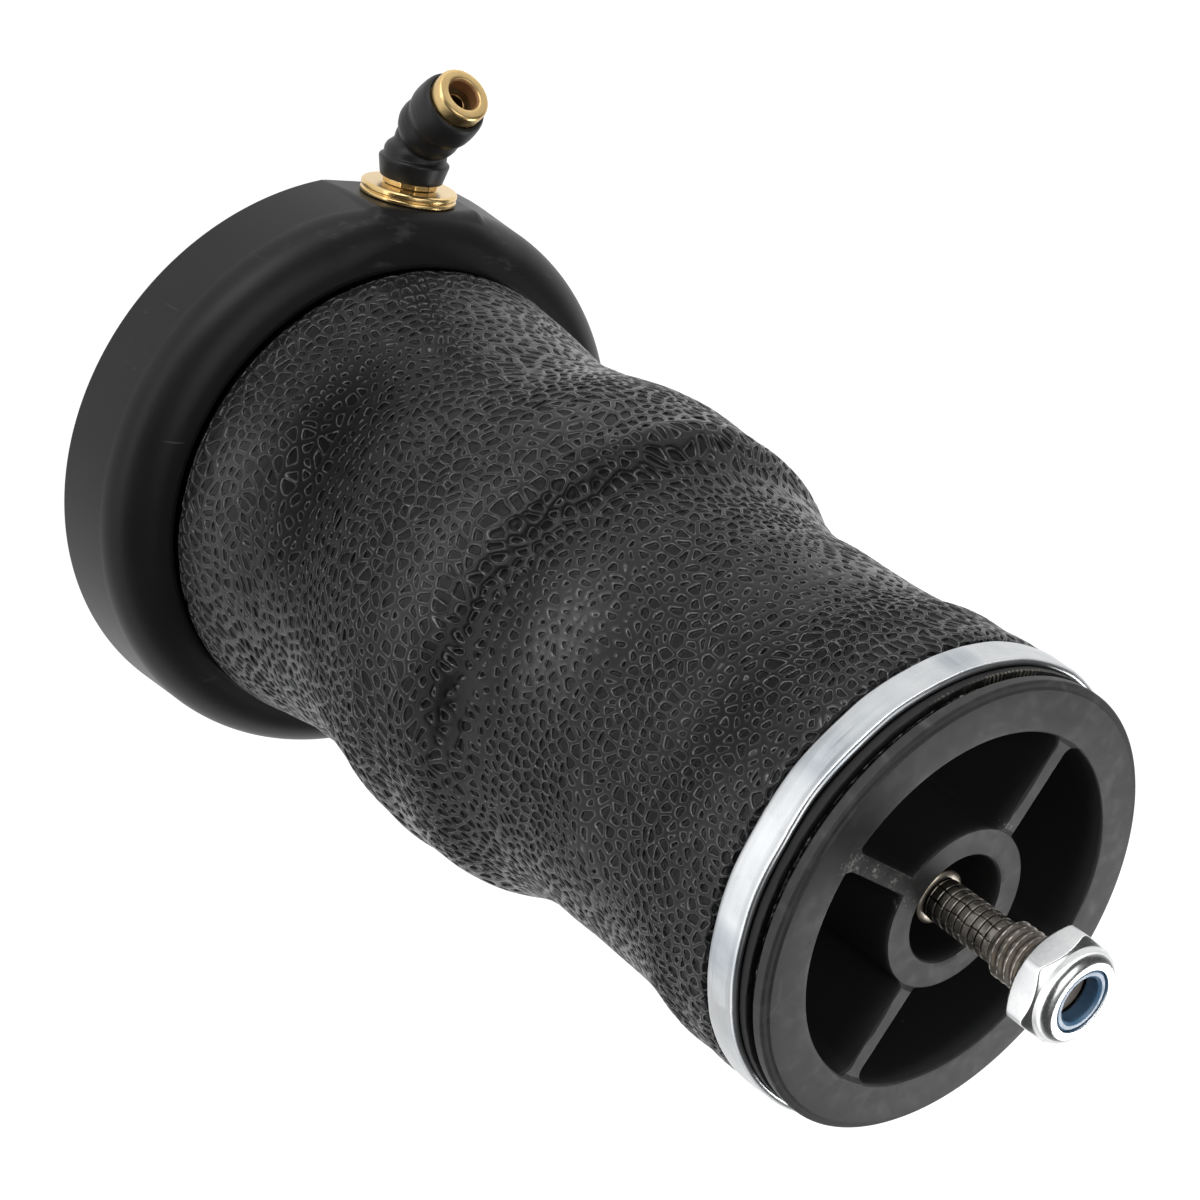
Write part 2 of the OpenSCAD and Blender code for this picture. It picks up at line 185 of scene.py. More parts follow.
def loft(name, rings, place=None, sharp=38):
    """Closed solid through rings of the same number of points, capped at both ends."""
    k, n = len(rings), len(rings[0])
    v = np.concatenate(rings)
    q = grid_quads(k, n, False)
    ends = [v[:n].mean(0), v[-n:].mean(0)]
    v = np.vstack([v, ends])
    j = np.arange(n)
    tris = np.vstack([np.stack([np.full(n, k * n), (j + 1) % n, j], -1),
                      np.stack([np.full(n, k * n + 1), (k - 1) * n + j, (k - 1) * n + (j + 1) % n], -1)])
    faces = [q, tris]
    if volume_sign(v, np.vstack([q[:, [0, 1, 2]], q[:, [0, 2, 3]], tris])) < 0:
        faces = [f[:, ::-1] for f in faces]
    if place is not None:
        v = place(v)
    return mesh_from(name, v, faces, sharp)


def on_port(v):
    return np.stack([v[:, 0], v[:, 2], -v[:, 1] + PORT_Z], -1)


def on_barrel(v):
    c = math.sqrt(0.5)
    x, y, z = v[:, 0], v[:, 1] * c - v[:, 2] * c, v[:, 1] * c + v[:, 2] * c + BEND_Y
    return np.stack([x, z, -y + PORT_Z], -1)


def boolean(o, cutters, operation="DIFFERENCE", sharp=38):
    """Applies the operation with every cutter, and removes the cutters."""
    for c in cutters:
        m = o.modifiers.new("b", "BOOLEAN")
        m.operation, m.object, m.solver = operation, c, "MANIFOLD"
    bpy.context.view_layer.update()
    dg = bpy.context.evaluated_depsgraph_get()
    me = bpy.data.meshes.new_from_object(o.evaluated_get(dg))
    o.modifiers.clear()
    old = o.data
    o.data = me
    bpy.data.meshes.remove(old)
    for c in cutters:
        d = c.data
        bpy.data.objects.remove(c)
        bpy.data.meshes.remove(d)
    me.polygons.foreach_set("use_smooth", np.ones(len(me.polygons), bool))
    me.set_sharp_from_angle(angle=math.radians(sharp))
    return o


def apply_mods(o):
    bpy.context.view_layer.update()
    dg = bpy.context.evaluated_depsgraph_get()
    me = bpy.data.meshes.new_from_object(o.evaluated_get(dg))
    o.modifiers.clear()
    o.data = me
    return o


def smoothstep(a, b, x):
    t = np.clip((x - a) / (b - a), 0, 1)
    return t * t * (3 - 2 * t)


def curve_through(x, y, q):
    """Cubic through the points (x, y), with no overshoot at extremes."""
    x, y = np.asarray(x, float), np.asarray(y, float)
    h, d = np.diff(x), np.diff(y) / np.diff(x)
    m = np.zeros(len(x))
    same = d[:-1] * d[1:] > 0
    w1, w2 = 2 * h[1:] + h[:-1], h[1:] + 2 * h[:-1]
    with np.errstate(divide="ignore", invalid="ignore"):
        inner = (w1 + w2) / (w1 / d[:-1] + w2 / d[1:])
    m[1:-1] = np.where(same, inner, 0)
    m[0], m[-1] = d[0], d[-1]
    q = np.clip(q, x[0], x[-1])
    i = np.clip(np.searchsorted(x, q) - 1, 0, len(h) - 1)
    t = (q - x[i]) / h[i]
    return ((2 * t**3 - 3 * t**2 + 1) * y[i] + (t**3 - 2 * t**2 + t) * h[i] * m[i]
            + (-2 * t**3 + 3 * t**2) * y[i + 1] + (t**3 - t**2) * h[i] * m[i + 1])


def waves(th, z, seed, kmax, zlen, count=14):
    """Smooth low-frequency pattern, periodic in th, about unit size."""
    rng = np.random.default_rng(seed)
    out = np.zeros(np.broadcast(th, z).shape)
    for _ in range(count):
        k = int(rng.integers(0, kmax + 1))
        m = rng.normal() * PI2 / zlen
        out = out + math.sqrt(2 / count) * np.cos(k * th + m * z + rng.uniform(0, PI2))
    return out


# ---------------------------------------------------------------------------
# Materials
# ---------------------------------------------------------------------------
# Pale crumbs on the stud-end piece: place (mm), reach (mm), amount
DUST = (((-28.3, 13.2, 195.4), 5.5, 1.0), ((-22.5, 10.6, 195.4), 5.0, 0.75), ((-17.0, 8.4, 195.4), 4.5, 0.8),
        ((-13.4, 4.6, 194.6), 4.5, 0.7), ((6.9, 14.2, 195.0), 3.2, 0.75), ((-6.9, -14.2, 195.0), 2.4, 0.4),
        ((-13.2, -27.6, 195.4), 4.5, 0.45), ((12.9, 26.8, 195.2), 2.4, 0.35), ((-8.5, 23.0, 172.0), 9.0, 0.55),
        ((-15.0, 21.0, 190.0), 8.0, 0.45), ((-2.0, 26.5, 185.0), 6.0, 0.3))


class Mat:
    def __init__(self, name):
        self.m = bpy.data.materials.new(name)
        self.m.use_nodes = True
        self.nt = self.m.node_tree
        self.nt.nodes.clear()
        self.out = self.nt.nodes.new("ShaderNodeOutputMaterial")
        self.b = self.nt.nodes.new("ShaderNodeBsdfPrincipled")
        self.nt.links.new(self.b.outputs[0], self.out.inputs[0])
        self.co = self.nt.nodes.new("ShaderNodeTexCoord").outputs["Object"]

    def link(self, a, b):
        self.nt.links.new(a, b)

    def put(self, socket, value):
        if isinstance(value, bpy.types.NodeSocket):
            self.link(value, socket)
        else:
            socket.default_value = value

    def mapping(self, scale=(1, 1, 1), rot=(0, 0, 0), loc=(0, 0, 0)):
        n = self.nt.nodes.new("ShaderNodeMapping")
        self.link(self.co, n.inputs["Vector"])
        n.inputs["Scale"].default_value = scale
        n.inputs["Rotation"].default_value = rot
        n.inputs["Location"].default_value = loc
        return n.outputs[0]

    def noise(self, scale, detail=3, rough=0.5, vec=None, dist=0.0):
        n = self.nt.nodes.new("ShaderNodeTexNoise")
        self.link(self.co if vec is None else vec, n.inputs["Vector"])
        n.inputs["Scale"].default_value = scale
        n.inputs["Detail"].default_value = detail
        n.inputs["Roughness"].default_value = rough
        n.inputs["Distortion"].default_value = dist
        return n.outputs["Fac"]

    def voronoi(self, scale, feature="F1", vec=None, rand=1.0):
        n = self.nt.nodes.new("ShaderNodeTexVoronoi")
        n.feature = feature
        self.link(self.co if vec is None else vec, n.inputs["Vector"])
        n.inputs["Scale"].default_value = scale
        n.inputs["Randomness"].default_value = rand
        return n

    def ramp(self, fac, stops, interp="LINEAR"):
        n = self.nt.nodes.new("ShaderNodeValToRGB")
        self.link(fac, n.inputs[0])
        cr = n.color_ramp
        cr.interpolation = interp
        while len(cr.elements) < len(stops):
            cr.elements.new(0.5)
        for e, (p, c) in zip(cr.elements, stops):
            e.position = p
            e.color = (c, c, c, 1) if not isinstance(c, tuple) else (*c, 1)
        return n.outputs[0]

    def range(self, v, a, b, c, d):
        n = self.nt.nodes.new("ShaderNodeMapRange")
        self.link(v, n.inputs["Value"])
        for k, x in zip(("From Min", "From Max", "To Min", "To Max"), (a, b, c, d)):
            n.inputs[k].default_value = x
        return n.outputs[0]

    def math(self, op, a, b=0.0):
        n = self.nt.nodes.new("ShaderNodeMath")
        n.operation = op
        self.put(n.inputs[0], a)
        self.put(n.inputs[1], b)
        return n.outputs[0]

    def mix(self, fac, a, b, blend="MIX"):
        n = self.nt.nodes.new("ShaderNodeMix")
        n.data_type, n.blend_type = "RGBA", blend
        self.put(n.inputs[0], fac)
        for i, c in ((6, a), (7, b)):
            self.put(n.inputs[i], (*c, 1) if isinstance(c, tuple) and len(c) == 3 else c)
        return n.outputs[2]

    def attr(self, name):
        n = self.nt.nodes.new("ShaderNodeAttribute")
        n.attribute_type, n.attribute_name = "GEOMETRY", name
        return n.outputs["Fac"]

    def bump(self, height, strength=0.3, dist=0.0002, normal=None):
        n = self.nt.nodes.new("ShaderNodeBump")
        n.inputs["Strength"].default_value = strength
        n.inputs["Distance"].default_value = dist
        self.link(height, n.inputs["Height"])
        if normal is not None:
            self.link(normal, n.inputs["Normal"])
        return n.outputs[0]

    def xyz(self):
        n = self.nt.nodes.new("ShaderNodeSeparateXYZ")
        self.link(self.co, n.inputs[0])
        return n.outputs

    def near(self, point, radius):
        """1 at the point (mm), falling to 0 at radius."""
        n = self.nt.nodes.new("ShaderNodeVectorMath")
        n.operation = "DISTANCE"
        self.link(self.co, n.inputs[0])
        n.inputs[1].default_value = tuple(c * 0.001 for c in point)
        return self.range(n.outputs["Value"], 0.0, radius * 0.001, 1.0, 0.0)

    def set(self, **kw):
        for k, v in kw.items():
            self.put(self.b.inputs[k.replace("_", " ")], (*v, 1) if isinstance(v, tuple) and len(v) == 3 else v)
        return self


def cap_plastic():
    m = Mat("cap_plastic")
    cloud = m.noise(28, 3, 0.55)
    fine = m.noise(1500, 2, 0.6)
    col = m.mix(m.range(cloud, 0.3, 0.7, 0, 1), (0.0085, 0.0086, 0.0090), (0.0125, 0.0126, 0.0130))
    # hair scratches in three directions, and specks of dust
    lines = None
    for rot, seed in (((0.3, 0.9, 0.4), 3.0), ((1.2, 0.2, 2.1), 9.0), ((2.0, 1.4, 0.9), 17.0)):
        w = m.noise(1, 1, 0.4, m.mapping((60, 1400, 60), rot, (seed, 0, 0)))
        g = m.noise(40, 1, 0.5, m.mapping((1, 1, 1), rot, (seed, seed, 0)))
        s = m.math("MULTIPLY", m.range(w, 0.735, 0.765, 0, 1), m.range(g, 0.56, 0.66, 0, 1))
        lines = s if lines is None else m.math("MAXIMUM", lines, s)
    speck = m.voronoi(230)
    sp = m.math("MULTIPLY", m.range(speck.outputs["Distance"], 0.05, 0.02, 0, 1),
                m.range(m.noise(330, 1), 0.62, 0.68, 0, 1))
    smear = m.math("MULTIPLY", m.range(m.noise(1, 4, 0.7, m.mapping((90, 260, 340), (0.2, 0.5, 0.9))), 0.60, 0.74, 0, 0.28),
                   m.range(m.noise(24, 2), 0.50, 0.62, 0, 1))
    marks = m.math("MAXIMUM", m.math("MULTIPLY", lines, 0.45), m.math("MULTIPLY", sp, 0.8))
    marks = m.math("MAXIMUM", marks, smear)
    col = m.mix(marks, col, (0.11, 0.11, 0.11))
    m.set(Base_Color=col, Roughness=m.range(cloud, 0.2, 0.8, 0.36, 0.43))
    m.set(Normal=m.bump(fine, 0.04, 0.0001))
    m.b.inputs["Specular IOR Level"].default_value = 0.19
    return m.m


def rubber(name, base=0.014, rough=(0.40, 0.52), pits=False, shine=0.32):
    m = Mat(name)
    cloud = m.noise(45, 4, 0.6)
    fine = m.noise(2600, 2, 0.6)
    a, b = base * 0.8, base * 1.35
    col = m.mix(m.range(cloud, 0.3, 0.7, 0, 1), (a, a, a * 1.04), (b, b, b * 1.04))
    if pits:
        # the mesh carries each point's distance past its pit's edge, which keeps the pit walls crisp here
        q = m.attr("pit")
        wall = m.range(q, -0.03, 0.13, 1.0, 0.0)
        rim = m.math("SUBTRACT", 1.0, m.range(m.math("ABSOLUTE", m.math("ADD", q, 0.03)), 0.03, 0.13, 0.0, 1.0))
        grain = m.noise(1100, 3, 0.65)
        sp = m.voronoi(160)
        dust = m.math("MULTIPLY", m.range(sp.outputs["Distance"], 0.06, 0.02, 0, 1),
                      m.range(m.noise(240, 1), 0.68, 0.74, 0, 1))
        col = m.mix(m.math("MULTIPLY", dust, 0.6), col, (0.13, 0.13, 0.13))
        r = m.math("ADD", m.range(cloud, 0.25, 0.75, rough[0], rough[1]), m.range(q, 0.0, 0.3, -0.03, 0.07))
        # the cut end past the ring is matt
        r = m.math("ADD", r, m.range(m.xyz()[2], 0.1900, 0.1905, 0.0, 0.30))
        n = m.bump(fine, 0.06, 0.0001)
        n = m.bump(grain, 0.16, 0.0002, n)
        n = m.bump(m.math("ADD", wall, m.math("MULTIPLY", rim, 0.12)), 0.85, 0.00025, n)
        # painted light and shade: the tone attribute scales the base colour brighter and darker in patches, and the
        # specular level with it
        tone = m.math("ADD", 1.0, m.attr("tone"))
        lit = m.range(tone, 0.4, 2.0, 0.45, 1.9)
        col = m.mix(1.0, col, lit, "MULTIPLY")
        # painted highlight: the pits' edges are painted pale, and their floors stay dull
        painted_rim_highlight = m.math("MULTIPLY", rim, m.range(m.noise(520, 3, 0.65), 0.38, 0.62, 0.15, 1.0))
        col = m.mix(painted_rim_highlight, col, (0.080, 0.081, 0.084))
        gloss = m.math("MULTIPLY", m.range(q, 0.08, 0.30, 1.0, 0.55), m.math("MULTIPLY", tone, shine))
        # the cut cords show as a row of pale dots in the sleeve's end, on the side that flares out
        x, y, z = m.xyz()
        turn = m.math("ADD", m.math("MULTIPLY", m.math("ARCTAN2", y, x), 290 / PI2), m.range(m.noise(500, 1), 0.3, 0.7, 0.0, 0.5))
        dot = m.range(m.math("ABSOLUTE", m.math("SUBTRACT", m.math("FRACT", turn), 0.5)), 0.12, 0.22, 1.0, 0.0)
        dot = m.math("MULTIPLY", dot, m.range(m.math("ABSOLUTE", m.math("SUBTRACT", z, 0.19182)), 0.00012, 0.00024, 1.0, 0.0))
        side = m.math("ADD", m.math("MULTIPLY", x, 0.342), m.math("MULTIPLY", y, 0.940))
        dot = m.math("MULTIPLY", dot, m.math("MULTIPLY", m.range(side, 0.028, 0.034, 0, 1), m.range(m.noise(120, 2), 0.40, 0.55, 0.0, 0.5)))
        col = m.mix(dot, col, (0.30, 0.27, 0.20))
        m.set(Base_Color=col, Roughness=r, Normal=n, Specular_IOR_Level=m.math("ADD", gloss, m.math("MULTIPLY", painted_rim_highlight, 0.55)))
    else:
        r = m.range(cloud, 0.25, 0.75, rough[0], rough[1])
        m.set(Base_Color=col, Roughness=r, Normal=m.bump(fine, 0.06, 0.0001))
    if not pits:
        m.b.inputs["Specular IOR Level"].default_value = shine
    return m.m


def end_plastic():
    m = Mat("end_plastic")
    cloud = m.noise(60, 4, 0.65)
    blot = m.noise(330, 3, 0.6)
    fine = m.noise(3000, 2, 0.6)
    col = m.mix(m.range(cloud, 0.35, 0.65, 0, 1), (0.017, 0.017, 0.0173), (0.026, 0.026, 0.0260))
    col = m.mix(m.range(blot, 0.50, 0.72, 0, 0.6), col, (0.048, 0.048, 0.0475))
    rings = m.voronoi(75, "DISTANCE_TO_EDGE")
    col = m.mix(m.math("MULTIPLY", m.range(rings.outputs["Distance"], 0.0, 0.035, 1, 0), m.range(m.noise(90, 2), 0.56, 0.66, 0, 0.5)), col, (0.075, 0.075, 0.075))
    # the pockets keep the mould's dark gloss; the face around them is scuffed matt
    x, y, z = m.xyz()
    rad = m.math("SQRT", m.math("ADD", m.math("MULTIPLY", x, x), m.math("MULTIPLY", y, y)))
    facing = m.nt.nodes.new("ShaderNodeSeparateXYZ")
    m.link(m.nt.nodes.new("ShaderNodeTexCoord").outputs["Normal"], facing.inputs[0])
    deep = m.math("MAXIMUM", m.range(z, 0.1930, 0.1940, 1, 0), m.range(facing.outputs[2], 0.85, 0.60, 0, 1))
    deep = m.math("MULTIPLY", deep, m.range(rad, 0.0326, 0.0322, 0, 1))
    col = m.mix(deep, col, (0.032, 0.0322, 0.0330))
    # pale dust: loose crumbs where ribs meet the wall and hub, and a faint film in one pocket
    crumbs = None
    for p, r, amount in DUST:
        s = m.math("MULTIPLY", m.near(p, r), amount)
        crumbs = s if crumbs is None else m.math("MAXIMUM", crumbs, s)
    grain = m.noise(1000, 4, 0.75)
    dust = m.math("MULTIPLY", m.range(m.math("ADD", grain, m.math("MULTIPLY", crumbs, 0.30)), 0.70, 0.84, 0, 1),
                  m.range(crumbs, 0.02, 0.3, 0, 1))
    dust = m.math("MAXIMUM", dust, m.math("MULTIPLY", m.range(crumbs, 0.35, 1.0, 0, 0.16), m.range(m.noise(160, 3), 0.4, 0.6, 0.3, 1)))
    speck = m.voronoi(260)
    sp = m.math("MULTIPLY", m.range(speck.outputs["Distance"], 0.07, 0.03, 0, 1),
                m.range(m.noise(300, 1), 0.64, 0.70, 0, 1))
    dust = m.math("MAXIMUM", dust, m.math("MULTIPLY", sp, 0.35))
    col = m.mix(dust, col, (0.26, 0.26, 0.25))
    rough = m.math("SUBTRACT", m.range(blot, 0.3, 0.7, 0.50, 0.60), m.math("MULTIPLY", deep, 0.12))
    m.set(Base_Color=col, Roughness=rough, Normal=m.bump(fine, 0.08, 0.0001))
    m.b.inputs["Specular IOR Level"].default_value = 0.26
    return m.m


def metal(name, light, dark, rough, scale=60, brush=None, spots=0.0, bump=0.03):
    m = Mat(name)
    cloud = m.noise(scale, 4, 0.6)
    col = m.mix(m.range(cloud, 0.32, 0.68, 0, 1), dark, light)
    fine = m.noise(1800, 3, 0.6) if brush is None else m.noise(1, 3, 0.6, m.mapping(brush))
    r = m.range(fine, 0.3, 0.7, rough[0], rough[1])
    if spots:
        blot = m.noise(scale * 4, 3, 0.7, None, 0.6)
        f = m.range(blot, 0.60, 0.75, 0, spots)
        col = m.mix(f, col, tuple(c * 0.55 for c in dark))
        r = m.math("ADD", r, m.math("MULTIPLY", f, 0.15))
    m.set(Base_Color=col, Roughness=r, Metallic=1.0, Normal=m.bump(fine, bump, 0.0001))
    return m.m


def collet_brass():
    """Satin brass with painted shade inside the mouth, where the tube slides: darker and browner there."""
    m = Mat("collet_brass")
    cloud = m.noise(150, 3, 0.6)
    fine = m.noise(1700, 3, 0.6)
    x, y, z = m.xyz()
    across = m.math("MULTIPLY", m.math("SUBTRACT", m.math("SUBTRACT", y, BEND_Y * 0.001), m.math("SUBTRACT", z, PORT_Z * 0.001)), math.sqrt(0.5))
    rad = m.math("SQRT", m.math("ADD", m.math("MULTIPLY", x, x), m.math("MULTIPLY", across, across)))
    # painted shade: the bore of the mouth is painted dark brown, and made rougher and less metallic
    painted_mouth_shade = m.range(rad, 0.0037, 0.0035, 0, 1)
    col = m.mix(m.range(cloud, 0.3, 0.7, 0, 1), (0.60, 0.42, 0.18), (0.72, 0.52, 0.24))
    col = m.mix(painted_mouth_shade, col, (0.27, 0.13, 0.05))
    m.set(Base_Color=col, Roughness=m.math("ADD", m.range(fine, 0.3, 0.7, 0.27, 0.36), m.math("MULTIPLY", painted_mouth_shade, 0.22)),
          Metallic=m.math("SUBTRACT", 1.0, m.math("MULTIPLY", painted_mouth_shade, 0.55)), Normal=m.bump(fine, 0.05, 0.0001))
    return m.m


def stud_steel():
    """Brown-grey steel: painted shade in the grooves between the lands, dull and pale on the sawn end."""
    m = Mat("stud_steel")
    cloud = m.noise(260, 4, 0.65)
    x, y, z = m.xyz()
    rad = m.math("SQRT", m.math("ADD", m.math("MULTIPLY", x, x), m.math("MULTIPLY", y, y)))
    z1 = (LENGTH + 10.2) * 0.001
    thread = m.range(z, z1 - 0.0003, z1 + 0.0003, 0, 1)
    # painted shade: the neck's grooves and the roots of the thread are painted near black
    deep = m.math("MAXIMUM", m.math("MULTIPLY", m.range(rad, 0.00366, 0.00376, 1, 0), m.math("SUBTRACT", 1.0, thread)),
                  m.math("MULTIPLY", m.range(rad, 0.0042, 0.0046, 0.8, 0), thread))
    col = m.mix(m.range(cloud, 0.3, 0.7, 0, 1), (0.29, 0.265, 0.235), (0.50, 0.465, 0.42))
    col = m.mix(m.range(m.noise(700, 3, 0.7), 0.56, 0.70, 0, 0.5), col, (0.09, 0.075, 0.06))
    col = m.mix(deep, col, (0.03, 0.027, 0.024))
    # the shank's shoulder is bare and pale
    shoulder = m.math("MULTIPLY", m.range(z, (LENGTH - 5.3) * 0.001, (LENGTH - 5.0) * 0.001, 0, 1),
                      m.range(z, (LENGTH - 4.65) * 0.001, (LENGTH - 4.45) * 0.001, 1, 0))
    col = m.mix(shoulder, col, (0.66, 0.58, 0.47))
    end = m.range(z, (LENGTH + 22.1) * 0.001, (LENGTH + 22.25) * 0.001, 0, 1)
    col = m.mix(end, col, m.mix(m.range(cloud, 0.35, 0.65, 0, 1), (0.25, 0.21, 0.18), (0.48, 0.43, 0.39)))
    m.set(Base_Color=col, Roughness=m.math("ADD", m.range(cloud, 0.3, 0.7, 0.28, 0.42), m.math("MULTIPLY", end, 0.25)),
          Metallic=m.math("SUBTRACT", 1.0, m.math("MULTIPLY", end, 0.8)), Normal=m.bump(m.noise(1500, 3, 0.6), 0.08, 0.0001))
    return m.m


# Rubbed places on the crimp ring: angle (deg), reach (mm)
RING_MARKS = ((186.5, 6.0), (139.0, 5.5), (101.0, 4.5), (60.0, 4.0), (250.0, 5.0), (305.0, 4.0), (355.0, 5.0), (28.0, 4.0))


def ring_zinc():
    m = Mat("ring_zinc")
    cloud = m.noise(38, 4, 0.6)
    x, y, z = m.xyz()
    drawn = m.noise(1, 3, 0.6, m.mapping((90, 90, 2600)))
    col = m.mix(m.range(cloud, 0.35, 0.65, 0, 1), (0.45, 0.47, 0.485), (0.62, 0.63, 0.64))
    marks = None
    for ang, half in RING_MARKS:
        p = (42.3 * math.cos(math.radians(ang)), 42.3 * math.sin(math.radians(ang)), 187.0)
        s = m.range(m.near(p, half), 0.0, 0.7, 0, 1)
        marks = s if marks is None else m.math("MAXIMUM", marks, s)
    streak = m.range(m.noise(1, 2, 0.6, m.mapping((260, 260, 40))), 0.30, 0.70, 0.45, 1.0)
    marks = m.math("MULTIPLY", marks, streak)
    col = m.mix(m.math("MULTIPLY", marks, 0.75), col, (0.20, 0.24, 0.28))
    blot = m.range(m.noise(260, 4, 0.7), 0.60, 0.74, 0, 0.22)
    col = m.mix(blot, col, (0.34, 0.36, 0.37))
    m.set(Base_Color=col, Roughness=m.range(drawn, 0.3, 0.7, 0.24, 0.40), Metallic=1.0,
          Normal=m.bump(drawn, 0.05, 0.0001))
    return m.m


def nylon(name, a, b, rough=0.4):
    m = Mat(name)
    cloud = m.noise(160, 3, 0.6)
    m.set(Base_Color=m.mix(m.range(cloud, 0.3, 0.7, 0, 1), a, b),
          Roughness=m.range(m.noise(500, 2), 0.3, 0.7, rough, rough + 0.12),
          Normal=m.bump(m.noise(1400, 2), 0.05, 0.0001))
    m.b.inputs["Subsurface Weight"].default_value = 0.15
    m.b.inputs["Subsurface Radius"].default_value = (0.001, 0.001, 0.0012)
    return m.m


def cord_ply():
    """Rubberised cord: pale cord ends in dark rubber."""
    m = Mat("cord_fabric")
    v = m.voronoi(900, rand=0.35)
    f = m.range(v.outputs["Distance"], 0.30, 0.52, 1, 0)
    tone = m.range(m.noise(400, 2), 0.3, 0.7, 0.35, 1.0)
    col = m.mix(m.math("MULTIPLY", f, tone), (0.012, 0.012, 0.012), (0.26, 0.25, 0.22))
    m.set(Base_Color=col, Roughness=m.range(m.noise(900, 2), 0.3, 0.7, 0.55, 0.75),
          Normal=m.bump(f, 0.4, 0.0002))
    return m.m


def foam():
    m = Mat("foam")
    v = m.voronoi(1600)
    n = m.noise(500, 4, 0.7)
    f = m.range(v.outputs["Distance"], 0.1, 0.6, 0, 1)
    m.set(Base_Color=m.mix(m.math("MULTIPLY", f, n), (0.42, 0.36, 0.20), (0.66, 0.60, 0.42)),
          Roughness=m.range(n, 0.3, 0.7, 0.75, 0.92), Normal=m.bump(f, 0.5, 0.0003))
    return m.m


M_CAP = cap_plastic()
M_SLEEVE = rubber("sleeve_rubber", 0.0088, (0.26, 0.35), pits=True, shine=0.215)
M_LINER = rubber("liner_rubber", 0.010, (0.45, 0.6))
M_CORD = cord_ply()
M_END = end_plastic()
M_RING = ring_zinc()
M_BRASS = metal("brass", (0.78, 0.57, 0.27), (0.68, 0.48, 0.21), (0.20, 0.28), 45, None, 0.04, 0.004)
M_COLLET = collet_brass()
M_STEEL = stud_steel()
M_ZINC = metal("nut_zinc", (0.74, 0.745, 0.74), (0.60, 0.61, 0.62), (0.18, 0.28), 90, None, 0.10, 0.01)
M_SPRING = metal("spring_steel", (0.60, 0.60, 0.60), (0.48, 0.48, 0.48), (0.22, 0.34), 200)
M_CLOSURE = metal("closure_alloy", (0.55, 0.56, 0.57), (0.42, 0.43, 0.44), (0.34, 0.46), 70)
M_NYLON = nylon("nut_nylon", (0.075, 0.170, 0.30), (0.11, 0.23, 0.37), 0.28)
M_BACKUP = nylon("ptfe", (0.72, 0.72, 0.69), (0.80, 0.80, 0.78), 0.35)
M_ELBOW = rubber("elbow_nylon", 0.0105, (0.38, 0.48), shine=0.27)
M_SEAL = rubber("seal_rubber", 0.010, (0.35, 0.5))
M_FOAM = foam()


def wear(o, mat, body, *nodes, slot=None):
    o.data.materials.clear()
    o.data.materials.append(mat)
    if body:
        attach(o, body)
    if nodes:
        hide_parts(*nodes)
    return o


# ---------------------------------------------------------------------------
# End cap
# ---------------------------------------------------------------------------
def pocket_rings(R, r, w, a0, a1, fr, fi, zs, flare):
    """Rings of a pocket between two ribs. flare(z) -> growth outwards at the wall, at the hub and at the ribs."""
    rings = []
    for z in zs:
        gw, gh, gr = flare(z)
        Ro, ri, hw = R + gw, r - gh, w - gr
        fo, fh = max(fr - (gw + gr) / 2, 0.3) if gw < 0 or gr < 0 else fr, fi
        pts = []
        mid = math.radians((a0 + a1) / 2)

        def corner(axis_deg, side, rc, radius, inner):
            ax = math.radians(axis_deg)
            u, s = np.array([math.cos(ax), math.sin(ax)]), np.array([-math.sin(ax), math.cos(ax)]) * side
            off = hw + radius
            dist = rc + radius if inner else rc - radius
            along = math.sqrt(max(dist * dist - off * off, 1e-6))
            c = u * along + s * off
            foot = u * along + s * hw
            on = c / np.linalg.norm(c) * rc
            return c, foot, on

        def sweep(c, p, q, k):
            a = math.atan2(*(p - c)[::-1])
            d = (math.atan2(*(q - c)[::-1]) - a + math.pi) % PI2 - math.pi
            rad = np.linalg.norm(p - c)
            return [c + rad * np.array([math.cos(a + d * t / k), math.sin(a + d * t / k)]) for t in range(k + 1)]

        c1, f1, o1 = corner(a0, 1, Ro, fo, False)
        c2, f2, o2 = corner(a1, -1, Ro, fo, False)
        c3, f3, o3 = corner(a1, -1, ri, fh, True)
        c4, f4, o4 = corner(a0, 1, ri, fh, True)
        pts += sweep(c1, f1, o1, 8)
        b0, b1 = math.atan2(o1[1], o1[0]), math.atan2(o2[1], o2[0])
        b1 = b0 + ((b1 - b0) % PI2)
        pts += [np.array([Ro * math.cos(b), Ro * math.sin(b)]) for b in np.linspace(b0, b1, 66)[1:-1]]
        pts += sweep(c2, o2, f2, 8)
        pts += [f2 + (f3 - f2) * t for t in np.linspace(0, 1, 14)[1:-1]]
        pts += sweep(c3, f3, o3, 8)
        b0, b1 = math.atan2(o3[1], o3[0]), math.atan2(o4[1], o4[0])
        b1 = b0 - ((b0 - b1) % PI2)
        pts += [np.array([ri * math.cos(b), ri * math.sin(b)]) for b in np.linspace(b0, b1, 34)[1:-1]]
        pts += sweep(c4, o4, f4, 8)
        pts += [f4 + (f1 - f4) * t for t in np.linspace(0, 1, 14)[1:-1]]
        rings.append(np.array([[p[0], p[1], z] for p in pts]))
    return rings


